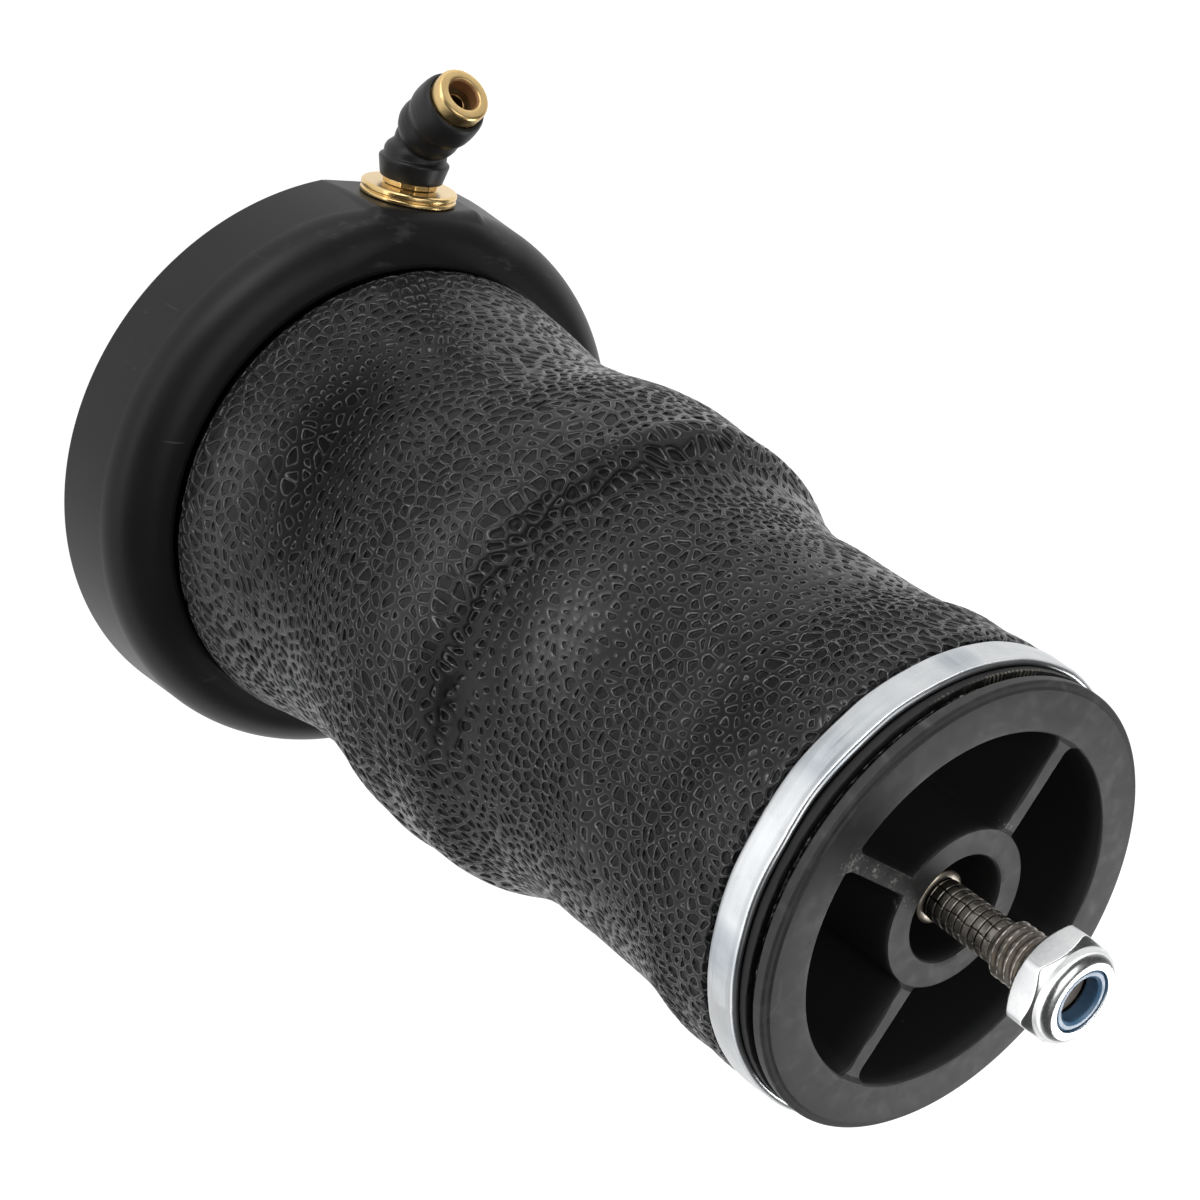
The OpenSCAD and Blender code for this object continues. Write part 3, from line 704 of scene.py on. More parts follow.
def build_cap():
    prof = ([(0, 0), (CAP_R - 0.2, 0), (CAP_R, 0.2), (CAP_R - 1.2, 14.2)]
            + arc(CAP_R - 11, 14.2, 9.8, 4, 84, 24)
            + [(51.3, 24.18, 1.2), (50.55, 24.12, 0.3), (50.2, 23.7, 0.3),
               (50.2, 22.2, 1.0), (54.2, 19, 0.6), (55, 16.5, 0.4), (43.4, 16.5), (43.4, 18), (40, 18),
               (40, 5, 0.6), (8, 5, 0.4), (8, 20, 0.4), (0, 20)])
    prof = split_long(rounded(prof, 4), 1.6, closed=False)
    out, zfine = [], 0.45
    for a, b in zip(prof[:-1], prof[1:]):
        outer = a[0] > 52 and b[0] > 52 and a[1] < 24.1 and b[1] < 24.1 and not (a[1] > 16 and a[0] < 56 and b[0] < 56)
        k = max(1, int(math.ceil(np.hypot(b[0] - a[0], b[1] - a[1]) / (zfine if outer else 9))))
        out += [(a[0] + (b[0] - a[0]) * t / k, a[1] + (b[1] - a[1]) * t / k) for t in range(k)]
    out.append(prof[-1])
    fine = np.radians(np.arange(90 - 17, 90 + 17, 0.3))
    coarse = np.radians(np.arange(90 + 17, 450 - 17, 0.75))
    th = np.concatenate([fine, coarse])

    def shape(r, t, z):
        phi = (t - math.pi / 2 + math.pi) % PI2 - math.pi
        # the shoulder's round tightens towards the port, so the boss under the flange grows out of the rim
        rho = 9.8 - 3.0 * smoothstep(math.radians(24), math.radians(8), np.abs(phi))
        a = np.arctan2(z - 14.2, r - (CAP_R - 11))
        on_arc = (np.abs(np.hypot(r - (CAP_R - 11), z - 14.2) - 9.8) < 0.06) & (r > CAP_R - 10.3) & (z > 14.19)
        wall = (r > CAP_R - 2) & (z <= 14.19)
        r1 = np.where(on_arc, CAP_R - 1.2 - rho + rho * np.cos(a), r)
        z1 = np.where(on_arc, 24.0 - rho + rho * np.sin(a), np.where(wall & (z > 0.25), z * (24.0 - rho) / 14.2, z))
        # flat pad
        plane = PAD_Y / np.maximum(np.cos(phi), 0.2)
        x = plane * np.sin(phi)
        skin = (on_arc | wall) & (np.abs(phi) < 1.0)
        r2 = np.where(skin & (np.abs(x) < 14.6) & (plane < r1), plane, r1)
        up = smoothstep(14.5, 11.5, np.abs(x)) * np.where(on_arc, smoothstep(math.radians(40), math.radians(5), a), 1.0)
        r2 = np.where(skin & (plane >= r1), r1 + (plane - r1) * up, r2)
        return r2, z1

    o = lathe("end_cap_shell", out, shape=shape, thetas=th, sharp=40)
    cut = []
    edge = lambda z: ((0.5 - math.sqrt(max(0.25 - max(z + 0.5 - 0, 0) ** 2, 0))) if z > -0.5 else 0.5)
    for k in range(12):
        if k == 3:
            continue
        a0, a1 = k * 30 - 15, k * 30 + 15

        def flare(z):
            top = 0.45 * (1 - min(max(z / 0.45, 0), 1)) ** 2
            deep = -0.9 * (1 - math.sqrt(max(1 - (max(z - 2.5, 0) / 0.9) ** 2, 0)))
            g = top + deep - 0.012 * max(z, 0)
            return g, g, g
        zs = [-1, 0, 0.1, 0.22, 0.45, 1.5, 2.5, 2.8, 3.05, 3.25, 3.38, 3.4]
        cut.append(loft(f"cut{k}", pocket_rings(56.4, 45.4, 1.7, a0, a1, 1.6, 1.6, zs, flare)))
    for s in (-1, 1):
        cut.append(lathe("seat", [(0, -1), (6.1, -1), (6.1, 0), (5.6, 0.35), (5.6, 9.6), (0, 9.6)], 96,
                         place=lambda v, s=s: v + np.array([s * 35.0, 0, 0])))
    port = [(0, 29), (2.2, 29), (2.2, 50), (4.9, 50), (4.9, 60), (7.8, 60), (7.8, 61.05), (8.0, 64), (0, 64)]
    cut.append(lathe("portcut", port, 96, place=on_port))
    boolean(o, cut, sharp=36)
    return wear(o, M_CAP, "cap_end", "end_cap", slot="cap_plastic")


# ---------------------------------------------------------------------------
# Sleeve: cover, cord ply and liner
# ---------------------------------------------------------------------------
SZ = lambda t: 25 + 158 * t
SL_Z = np.array([22.4, 23.7, 24.9, 26.4, 28.6, SZ(.04), SZ(.075), SZ(.13), SZ(.19), SZ(.235), SZ(.28), SZ(.335), SZ(.38),
                 SZ(.42), SZ(.47), SZ(.52), SZ(.58), SZ(.635), SZ(.685), SZ(.73), SZ(.78), SZ(.83), SZ(.89), SZ(.95),
                 SZ(.985), 183.0, 184.0])
SL_R = np.array([46.0, 48.4, 49.7, 50.6, 50.7, 50.2, 49.3, 48.2, 47.3, 47.1, 47.8, 49.0, 49.65, 49.8, 49.4, 48.3, 46.4, 44.2,
                 42.4, 41.2, 40.6, 40.6, 41.0, 41.7, 42.2, 41.9, 40.4])


def sleeve_radius(z):
    return np.where(z < 22.4, 46.0, np.where(z > 184, 40.4, curve_through(SL_Z, SL_R, z)))


# Folds of the relaxed sleeve: angle (deg), height, half length and half width (mm), tilt (deg) and drop (mm).
# Each is a step from a ridge on the cap's side down to a trough on the stud's side.
FOLDS = [(125, 113.5, 62, 8.2, 0, 3.5), (152, 54, 27, 8.5, 30, 1.3), (205, 96, 24, 9, -30, 1.3),
         (95, 66, 22, 9, 25, 1.0), (285, 60, 40, 12, 20, 1.6), (320, 118, 50, 11, -12, 2.0), (20, 84, 40, 12, 15, 1.4)]
# Broad bulges and dents: angle (deg), height, size along the angle and height (mm), tilt (deg), height (mm)
DENTS = [(155, 98, 15, 7, 0, 0.45), (147, 124, 16, 7, 10, 0.55), (100, 133, 14, 8, 0, 0.5), (196, 70, 14, 9, 0, 0.5),
         (84, 52, 12, 9, 0, 0.4), (130, 112, 7, 5, 0, -0.5), (75, 121, 10, 5, 15, -0.6), (174, 148, 22, 12, 0, 0.25),
         (160, 40, 20, 6, 0, 0.35), (215, 132, 12, 6, 0, 0.4)]


# How far the two outlines that the picture shows stand off the folds above: height, then mm at 65 and 232 deg
EDGE_Z = np.array([40, 48, 56, 62, 68, 74, 80, 86, 92, 98, 104, 110, 116, 122, 128, 134, 140, 148, 156, 164, 172, 180.])
EDGE_UP = np.array([0.0, -0.4, -1.36, -1.3, -1.58, -2.2, -1.86, -1.49, -1.35, -1.25, -1.4, -0.32, -1.2, -1.4, -2.37, -2.45, -1.36, -0.95, -0.92, -0.82, 0.6, 0.0])
EDGE_LOW = np.array([0.0, 0.0, 0.1, -0.45, -1.08, -0.8, -0.75, 0.42, 0.65, -0.28, -0.3, -0.8, -2.5, -3.1, -2.5, -0.8, 0.7, 1.35, 1.33, 1.05, 1.4, 0.0])


def around_fold(th, z, ang, zz, tilt):
    u = ((th - math.radians(ang) + math.pi) % PI2 - math.pi) * 46
    v = z - zz
    c, s = math.cos(math.radians(tilt)), math.sin(math.radians(tilt))
    return u * c + v * s, -u * s + v * c


def sleeve_form(th, z):
    """Slow changes of radius that all three layers share, in mm."""
    d = np.clip(np.cos(th - math.radians(65)), 0, 1) ** 2 * curve_through(EDGE_Z, EDGE_UP, z)
    d = d + np.clip(np.cos(th - math.radians(232)), 0, 1) ** 2 * curve_through(EDGE_Z, EDGE_LOW, z)
    side = curve_through([25, 45, 59.7, 74.4, 90.4, 102, 115, 125.6, 132, 144.8, 155, 165.6, 176.8, 184],
                         [0, 0.3, 0.4, 1.0, 1.0, 0.8, 0.15, -0.1, 0.6, 0.95, 1.0, 0.7, 0.0, 0.0], z)
    d = d + side * np.cos(th - math.radians(64))
    d = d + 0.20 * waves(th, z, 5, 3, 60) + 0.05 * waves(th, z, 6, 9, 24)
    for ang, zz, su, sv, tilt, drop in FOLDS:
        a, b = around_fold(th, z, ang, zz, tilt)
        b = b + 1.5 * np.sin(a / 9.0)
        d = d - drop * (1 + 0.22 * np.sin(a / 6.5 + zz)) * (b / sv) * np.exp(-(a / su) ** 2 - (b / sv) ** 2)
    for ang, zz, su, sv, tilt, depth in DENTS:
        a, b = around_fold(th, z, ang, zz, tilt)
        d = d + depth * np.exp(-(a / su) ** 2 - (b / sv) ** 2)
    return d * smoothstep(26, 36, z) * (1 - smoothstep(166, 181, z))


def pebble(th, z, s):
    """Relief of the rubber's embossed skin at angle th, height z and length s along the profile (mm): 0 on the
    smooth network and down to -1 in the pits, and how far each point is past its pit's edge."""
    around = 124
    pitch_u = PI2 * 46 / around
    # the pits are finer on the stud's side
    pitch_v = 2.95 - 0.50 * smoothstep(112, 146, z[:, :1])
    s1 = s[:, 0]
    rows_b = np.concatenate([[0], np.cumsum(np.diff(s1) / pitch_v[1:, 0])]) + s1[0] / pitch_v[0, 0]
    a = th / PI2 * around + 0.45 * waves(th, s, 11, 7, 34) + 0.12 * waves(th, s, 18, 18, 12)
    b = rows_b[:, None] + 0.40 * waves(th, s, 12, 5, 40) + 0.14 * waves(th, s, 13, 16, 13)
    # between the folds the rubber is squeezed along the axis, which leaves only slits of the pits
    slit = np.zeros(a.shape)
    for ang, zz, su, sv, tilt, amount in SLITS:
        p, q = around_fold(th, z, ang, zz, tilt)
        slit = slit + amount * np.exp(-((p / su) ** 2) ** 1.3 - ((q / sv) ** 2) ** 1.3)
    slit = np.clip(slit + 0.22 * waves(th, s, 19, 5, 45) * (slit < 0.6), 0, 1.1)
    rng = np.random.default_rng(2024)
    rows = int(math.ceil(b.max())) + 8
    off = int(math.floor(b.min())) - 4
    rows -= off
    ja, jb = rng.uniform(-0.44, 0.44, (rows, around)), rng.uniform(-0.44, 0.44, (rows, around))
    dep = rng.uniform(0.0, 1.0, (rows, around))
    grow = rng.uniform(-0.14, 0.16, (rows, around))
    ca, cb = np.floor(a).astype(int), np.floor(b).astype(int)
    best = np.full(a.shape, 1e9, np.float32)
    bu, bv, bd, bg = (np.zeros(a.shape, np.float32) for _ in range(4))
    cells = []
    for i in range(-2, 3):
        for j in range(-2, 3):
            if abs(i) == 2 and abs(j) == 2:
                continue
            ia, ib = (ca + j) % around, np.clip(cb + i - off, 0, rows - 1)
            du = ((ca + j + 0.5 + ja[ib, ia] - a) * pitch_u).astype(np.float32)
            dv = ((cb + i + 0.5 + jb[ib, ia] - b) * pitch_v).astype(np.float32)
            dd = du * du + dv * dv
            near = dd < best
            best = np.where(near, dd, best)
            bu, bv = np.where(near, du, bu), np.where(near, dv, bv)
            bd, bg = np.where(near, dep[ib, ia].astype(np.float32), bd), np.where(near, grow[ib, ia].astype(np.float32), bg)
            cells.append((du, dv))
    k = 0.14
    half = np.clip(0.41 + 0.08 * waves(th, s, 16, 7, 30), 0.28, 0.58).astype(np.float32) - bg * 0.8
    half = half * (1 - 0.30 * np.clip(slit, 0, 1)).astype(np.float32)
    wide = (0.60 * slit).astype(np.float32)
    acc = np.zeros(a.shape, np.float32)
    for du, dv in cells:
        eu, ev = du - bu, dv - bv
        ln = np.sqrt(eu * eu + ev * ev)
        other = ln > 1e-3
        ln = np.maximum(ln, 1e-3)
        # distance from the point (at 0, 0) to the border between the two cells, past the network's half width
        d = ((bu + du) * eu + (bv + dv) * ev) / 2 / ln - wide * np.abs(ev) / ln
        acc += np.where(other, np.exp(-np.minimum(d, 6) / k), 0)
    past = -k * np.log(np.maximum(acc, 1e-30)) - half
    # a rounded crest, a steep wall and a floor that is slightly domed in some pits
    pit = 0.22 * smoothstep(-0.42, 0.02, past) + 0.78 * smoothstep(-0.06, 0.22, past)
    dome = smoothstep(0.22, 0.9, past)
    relief = -pit * (1 - 0.30 * dome * bd) * (0.80 + 0.20 * bd)
    return relief, past


# Patches of painted light (+) and painted shade (-) on the skin: angle (deg), height, half length and width (mm), tilt
# (deg), amount
PAINTED_LIGHT_AND_SHADE = [(168, 38, 16, 7, 0, 1.3), (150, 64, 27, 17, 15, -0.75), (136, 50, 15, 11, 0, -0.3), (84, 50, 15, 9, 0, 0.6), (155, 102, 14, 7, 0, 1.0),
         (125, 113, 55, 6, 0, -0.45), (151, 130, 14, 7, 10, 1.0), (148, 159.5, 9, 4, 0, 0.45), (88, 136, 13, 11, 0, 0.5),
         (130, 169, 32, 8, 0, -0.4), (160, 177, 9, 5, 0, 0.6), (197, 68, 10, 10, 0, 0.5), (210, 133, 9, 6, 0, 0.4),
         (108, 76, 30, 6, 0, 0.25), (172, 112, 14, 6, 0, -0.3), (300, 90, 40, 20, 0, 0.3), (20, 130, 40, 14, 0, -0.3)]

# Places where the skin is squeezed: angle (deg), height, half length and half width (mm), tilt (deg), amount
SLITS = [(150, 62, 30, 17, 14, 1.0), (120, 45, 16, 9, 0, 0.5), (112, 115, 40, 7, 0, 0.55), (160, 118, 22, 8, 0, 0.5),
         (128, 150, 26, 15, 0, 0.35), (300, 75, 40, 18, 10, 0.8), (350, 125, 50, 12, 0, 0.7), (30, 60, 30, 14, 0, 0.6),
         (215, 150, 26, 16, 0, 0.45)]


def tube_solid(name, outer, inner, n):
    """Closed sleeve from an outer and an inner grid of points (rows, n, 3), both ordered by height."""
    a, b = outer.reshape(-1, 3), inner.reshape(-1, 3)
    ro, ri = len(outer), len(inner)
    qo = grid_quads(ro, n, False)
    qi = grid_quads(ri, n, False)[:, ::-1] + len(a)
    j = np.arange(n)
    j2 = (j + 1) % n
    low = np.stack([j, len(a) + j, len(a) + j2, j2], -1)
    to, ti = (ro - 1) * n, len(a) + (ri - 1) * n
    top = np.stack([to + j, to + j2, ti + j2, ti + j], -1)
    return np.vstack([a, b]), [qo, qi, low[:, ::-1][:, ::-1], top]


def layer_points(z, n, inset, extra=None, end=None):
    th = np.arange(n) * PI2 / n
    T, Z = np.meshgrid(th, z)
    r0 = sleeve_radius(Z)
    slope = (sleeve_radius(Z + 0.05) - sleeve_radius(Z - 0.05)) / 0.1
    slope = np.clip(slope, -1.2, 1.2)
    r = r0 + sleeve_form(T, Z) - inset
    if extra is not None:
        k = 1 / np.sqrt(1 + slope**2)
        r, Z = r + extra * k, Z - extra * k * slope * 0.9
    if end is not None:
        Z = end(T, Z)
    return np.stack([r * np.cos(T), r * np.sin(T), Z], -1), T, Z


def build_sleeve():
    n = 1200
    z = np.arange(22.6, 184.0, 0.1)
    r = sleeve_radius(z)
    s = np.concatenate([[0], np.cumsum(np.hypot(np.diff(z), np.diff(r)))])
    m = int(s[-1] / 0.25)
    zf = np.interp(np.linspace(0, s[-1], m), s, z)
    sf = np.linspace(0, s[-1], m)
    head = np.array([18.0, 19, 20.5, 22.0, 22.35])
    tail = np.array([184.15, 185.0, 188.0, 190.0, 190.35, 190.6, 190.9, 191.2, 191.5, 191.75, 191.95, 192.05])
    zo = np.concatenate([head, zf, tail])
    T, S = np.meshgrid(np.arange(n) * PI2 / n, np.concatenate([head - 22.6, sf, sf[-1] + tail - 184.0]))
    relief, past = pebble(T, np.repeat(zo[:, None], n, 1), S)
    fade = smoothstep(22.3, 24.2, zo) * (1 - smoothstep(183.6, 184.0, zo))
    relief *= fade[:, None]
    depth = 0.54
    # the cut end swells a little beyond the ring, and its edge is ragged
    lip = 0.34 * smoothstep(190.2, 190.7, zo) * (1 - smoothstep(191.85, 192.1, zo) * 0.5)
    rough_lip = waves(T, S * 0, 31, 60, 5, 24) * 0.018 + waves(T, S * 3, 32, 120, 3, 24) * 0.012
    extra = relief * depth + lip[:, None] * (1 + 0.10 * waves(T, S * 0, 33, 5, 9)) + \
        rough_lip * smoothstep(190.2, 190.9, zo)[:, None]
    ragged = lambda T, Z: Z + (0.035 * waves(T, Z * 0, 34, 40, 9, 30) + 0.02 * waves(T, Z * 0, 35, 140, 9, 30)) * \
        smoothstep(190.8, 192.0, Z)
    outer, T, Z = layer_points(zo, n, 0.0, extra, ragged)
    zi = np.concatenate([[18.0, 20, 22.4, 23.0, 24.0], np.linspace(25, 183, 74), [184, 188, 190.5, 191.4, 192.0]])
    inner, _, _ = layer_points(zi, n, 1.1, None, ragged)
    v, f = tube_solid("c", outer, inner, n)
    tri = np.vstack([np.vstack([q[:, [0, 1, 2]], q[:, [0, 2, 3]]]) for q in f])
    if volume_sign(v, tri) < 0:
        f = [q[:, ::-1] for q in f]
    o = mesh_from("sleeve_cover_skin", v, f, 50)
    # painted light and shade on the rubber, kept in the tone attribute
    tone = np.zeros(T.shape)
    for ang, zz, su, sv, tilt, amount in PAINTED_LIGHT_AND_SHADE:
        a, b = around_fold(T, np.repeat(zo[:, None], n, 1), ang, zz, tilt)
        tone += amount * np.exp(-(a / su) ** 2 - (b / sv) ** 2)
    at = o.data.attributes.new("tone", "FLOAT", "POINT")
    val = np.zeros(len(v), np.float32)
    val[:tone.size] = tone.ravel()
    at.data.foreach_set("value", val)
    at = o.data.attributes.new("pit", "FLOAT", "POINT")
    val = np.full(len(v), -1, np.float32)
    val[:past.size] = np.where(fade[:, None] > 0.5, np.clip(past, -1, 1.5), -1).ravel()
    at.data.foreach_set("value", val)
    # a plain UV map: the outer skin unrolled, the rest below it
    uv = o.data.uv_layers.new(name="OFBake")
    li = np.zeros(len(o.data.loops), np.int32)
    o.data.loops.foreach_get("vertex_index", li)
    rows_o, total_o = len(outer), outer.shape[0] * n
    is_out = li < total_o
    loc = np.where(is_out, li, li - total_o)
    row, colm = loc // n, loc % n
    counts = np.array([q.shape[0] for q in f]) * 4
    u = colm / n
    # the last column's faces wrap to column 0: give those corners u = 1
    quad = np.arange(len(li)) // 4
    cq = colm.reshape(-1, 4)
    wrap = (cq.max(1) - cq.min(1)) > n / 2
    uq = u.reshape(-1, 4)
    uq[wrap[:, None] & (cq < n / 2)] = 1.0
    vv = np.where(is_out, 0.25 + 0.745 * row / (rows_o - 1), 0.01 + 0.2 * row / (len(inner) - 1))
    band = vv.reshape(-1, 4)
    mixed = (is_out.reshape(-1, 4).max(1) & ~is_out.reshape(-1, 4).min(1))
    top = band.max(1) > 0.9
    o_in = is_out.reshape(-1, 4)
    for sel, lo, hi in ((mixed & top, 0.236, 0.244), (mixed & ~top, 0.222, 0.230)):
        b2 = np.where(o_in[sel], hi, lo)
        band[sel] = b2
    uv.data.foreach_set("uv", np.stack([0.003 + 0.994 * uq.ravel(), band.ravel()], -1).astype(np.float32).ravel())
    wear(o, M_SLEEVE, None, "sleeve_cover", slot="sleeve_rubber")
    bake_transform(o)

    # the ply ends a little below the cover, and its cords show at the cut
    n2 = 360
    zp = np.concatenate([[18.0, 20, 22.4, 23.0, 24.0], np.linspace(25, 183, 84), [184, 188, 190.5, 191.9, 192.1]])
    ends = lambda T, Z: Z + 0.10 * waves(T, Z * 0, 41, 90, 9, 30) * smoothstep(191, 192, Z)
    for name, a, b, mat, node, slot in (
            ("sleeve_cord_layer", 1.12, 1.58, M_CORD, "sleeve_cord_ply", "cord_fabric"),
            ("sleeve_liner_layer", 1.60, 2.18, M_LINER, "sleeve_liner", "liner_rubber")):
        outer, _, _ = layer_points(zp, n2, a, None, ends)
        inner, _, _ = layer_points(zp, n2, b, None, ends)
        v, f = tube_solid(name, outer, inner, n2)
        tri = np.vstack([np.vstack([q[:, [0, 1, 2]], q[:, [0, 2, 3]]]) for q in f])
        if volume_sign(v, tri) < 0:
            f = [q[:, ::-1] for q in f]
        o = mesh_from(name, v, f, 50)
        wear(o, mat, None, node, slot=slot)
        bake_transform(o)


# ---------------------------------------------------------------------------
# Crimp ring at the stud end
# ---------------------------------------------------------------------------
def build_ring():
    ro = SEAT_R + WALL
    prof = ([(ro + 0.08, RING_Z0 + 0.3), (ro + 0.5, RING_Z0)]
            + arc(ro + 0.95, RING_Z0 + 0.85, 0.85, -90, 0, 8)
            + [(ro + 1.75, RING_Z0 + 2), (ro + 1.5, RING_Z1 - 1.5)]
            + arc(ro + 0.75, RING_Z1 - 0.75, 0.75, 0, 90, 8)
            + [(ro + 0.5, RING_Z1), (ro + 0.08, RING_Z1 - 0.3)])
    prof = split_long(prof, 0.5)

    def shape(r, t, z):
        out = r - (ro + 0.08)
        k = np.clip(out / 1.4, 0, 1)
        # eight crimping jaws leave shallow flats, with a soft line between them
        a = (t - math.radians(20)) % (PI2 / 8) - PI2 / 16
        flat = 0.16 * (np.cos(a) / math.cos(PI2 / 16) - 1) * -1 + 0.05 * np.exp(-((np.abs(a) - PI2 / 16) / 0.012) ** 2)
        wave = 0.04 * waves(t, z * 0, 51, 20, 9, 16) + 0.012 * waves(t, z, 52, 40, 9, 16)
        edge = 0.10 * waves(t, z * 0, 53, 18, 9, 16)
        return r + k * (flat + wave), z + edge * smoothstep(RING_Z0 + 2.5, RING_Z0, z) * 0.8 + \
            edge * smoothstep(RING_Z1 - 2.5, RING_Z1, z)

    o = lathe("crimp_ring_band", prof, 540, shape=shape, sharp=50)
    return wear(o, M_RING, "stud_end", "lower_crimp_ring", slot="ring_steel")


# ---------------------------------------------------------------------------
# Stud end piece
# ---------------------------------------------------------------------------
def build_stud_end():
    L = LENGTH
    prof = [(0, L - 32), (SEAT_R - 3, L - 32, 1.0), (SEAT_R - 0.6, L - 29.6, 1.5), (SEAT_R, L - 28, 0.5),
            (SEAT_R, L - 11.5), (SEAT_R - 0.7, L - 11.1), (SEAT_R - 0.7, L - 10.3), (SEAT_R, L - 9.9),
            (SEAT_R, L - 8.6), (SEAT_R - 0.7, L - 8.2), (SEAT_R - 0.7, L - 7.4), (SEAT_R, L - 7),
            (SEAT_R, L - 3.4, 0.3), (SEAT_R + 0.5, L - 2.9, 0.2), (40.0, L - 2.9, 0.3), (40.7, L - 2.3, 0.3),
            (40.7, L - 0.75, 0.3), (40.3, L - 0.38, 0.2), (39.6, L - 0.30, 0.15), (39.3, L - 0.02, 0.2), (32.9, L, 0.0),
            (32.2, L - 0.06, 0.3), (31.4, L - 0.62, 0.3), (15.2, L - 0.62, 0.3), (14.4, L - 1.12, 0.4), (0, L - 1.12)]
    prof = split_long(rounded(prof, 4), 3.0, closed=False)

    def shape(r, t, z):
        # slight unevenness of the moulded face
        k = smoothstep(L - 1.6, L - 0.4, z)
        return r, z + k * 0.035 * waves(t, r * 2, 61, 6, 25)

    o = lathe("stud_end_moulding", prof, 480, shape=shape, sharp=32)
    cut = []
    for k in range(4):
        a0 = -26.0 + 90 * k

        def flare(z):
            h = L - 0.6 - z            # below the rib tops
            up = lambda rad: rad * (1 - math.sqrt(max(1 - (max(rad - h, 0) / rad) ** 2, 0))) if h > 0 else rad + 0.0
            f = 1.8
            d = z - (L - 27)
            deep = -f * (1 - math.sqrt(max(1 - (max(f - d, 0) / f) ** 2, 0)))
            draft = -0.021 * max(h, 0)
            hw = L - z
            upw = 0.45 * (1 - math.sqrt(max(1 - (max(0.45 - hw, 0) / 0.45) ** 2, 0))) if hw > 0 else 0.45
            return upw + deep + draft, up(1.1) + deep + draft * 0.6, up(0.35) + deep + draft * 0.35
        zs = np.concatenate([L - 27 + 1.8 * (1 - np.cos(np.radians([0, 15, 30, 45, 60, 75, 90]))),
                             np.linspace(L - 24, L - 2.2, 8), [L - 1.7, L - 1.5, L - 1.3, L - 1.1, L - 0.95, L - 0.85,
                                                               L - 0.75, L - 0.66, L - 0.6, L - 0.5, L - 0.4, L - 0.28,
                                                               L - 0.15, L - 0.05, L, L + 2]])
        zs[0] = L - 27
        rings = pocket_rings(32.0, 14.6, 1.6, a0, a0 + 90, 2.2, 1.6, zs, flare)
        cut.append(loft(f"p{k}", rings))
    cut.append(lathe("bore", [(0, L - 14), (9.7, L - 14), (9.7, L - 1.5), (9.75, L - 1.35), (10.0, L - 1.12), (10.4, L - 0.95),
                              (11, L + 2), (0, L + 2)], 240))
    cut.append(lathe("cav", [(0, L - 20.1), (4.9, L - 20.1), (4.9, L - 13), (0, L - 13)], 96))
    boolean(o, cut, sharp=32)
    return wear(o, M_END, "stud_end", "stud_end_piece", slot="end_plastic")


# ---------------------------------------------------------------------------
# Stud, lock nut and insert
# ---------------------------------------------------------------------------
def build_stud():
    L = LENGTH
    top = L + 22.6
    z0, z1 = L - 4.5, L + 10.6
    zs = np.concatenate([[L - 20.0, L - 15, L - 6, L - 5.3, L - 5.1], np.linspace(L - 5.0, z0, 8)[:-1],
                         np.arange(z0, top + 0.001, 0.075)])
    n = 180
    th = np.arange(n) * PI2 / n
    T, Z = np.meshgrid(th, zs)

    # plain shank with a broken edge
    shank = np.where(Z < L - 5.0, 4.88, 4.88 - 0.55 * smoothstep(L - 5.0, z0, Z) ** 1.5)
    # ringed neck, crossed by flutes, which leaves rows of small lands
    ph = ((Z - z0) / 1.5) % 1.0
    groove = np.clip(1 - np.abs(ph - 0.5) / 0.15, 0, 1) ** 0.7
    fl = (T / PI2 * 10 + 0.06 * np.sin((Z - z0) * 1.3)) % 1.0
    flute = np.clip(1 - np.abs(fl - 0.5) / 0.06, 0, 1) ** 0.7
    neck = 3.80 - 0.20 * groove - 0.20 * flute * (1 - 0.4 * groove)
    neck -= 0.35 * (1 - smoothstep(z0 + 0.05, z0 + 0.6, Z))
    # rolled M10 thread
    tp = ((Z - z1) / 1.5 - T / PI2) % 1.0
    tri = np.abs(tp - 0.5) * 2
    thread = 4.14 + 0.84 * np.clip((tri - 0.16) / 0.64, 0, 1)
    run = smoothstep(z1 - 0.9, z1 + 0.5, Z)
    thread_in = 3.70 + (thread - 3.70) * run
    end = top - Z
    thread_in = np.minimum(thread_in, 4.05 + 1.25 * np.clip(end, 0, 1))
    r = np.where(Z < z0, shank, np.where(Z < z1 - 0.9, neck, thread_in))
    r = r + 0.012 * waves(T, Z, 71, 20, 3, 16)
    v = np.stack([r * np.cos(T), r * np.sin(T), Z], -1).reshape(-1, 3)
    q = grid_quads(len(zs), n, False)
    v = np.vstack([v, [[0, 0, zs[0]], [0, 0, zs[-1] - 0.25]]])
    j = np.arange(n)
    b = (len(zs) - 1) * n
    tris = np.vstack([np.stack([np.full(n, len(v) - 2), (j + 1) % n, j], -1),
                      np.stack([np.full(n, len(v) - 1), b + j, b + (j + 1) % n], -1)])
    o = mesh_from("stud_threaded", v, [q, tris], 55)
    # hexagonal head, moulded in below
    def hexa(r, t, z):
        a = (t - math.radians(0)) % (PI2 / 6) - PI2 / 12
        return np.minimum(r, 8.5 * math.cos(math.pi / 6) / np.cos(a)), z
    head = lathe("stud_head", split_long(rounded([(0, L - 26), (8.5, L - 26, 0.5), (8.5, L - 20, 0.5), (0, L - 20)]), 1.5,
                                         closed=False), 180, shape=hexa)
    boolean(o, [head], "UNION", 45)
    return wear(o, M_STEEL, "stud_end", "stud", slot="stud_steel")


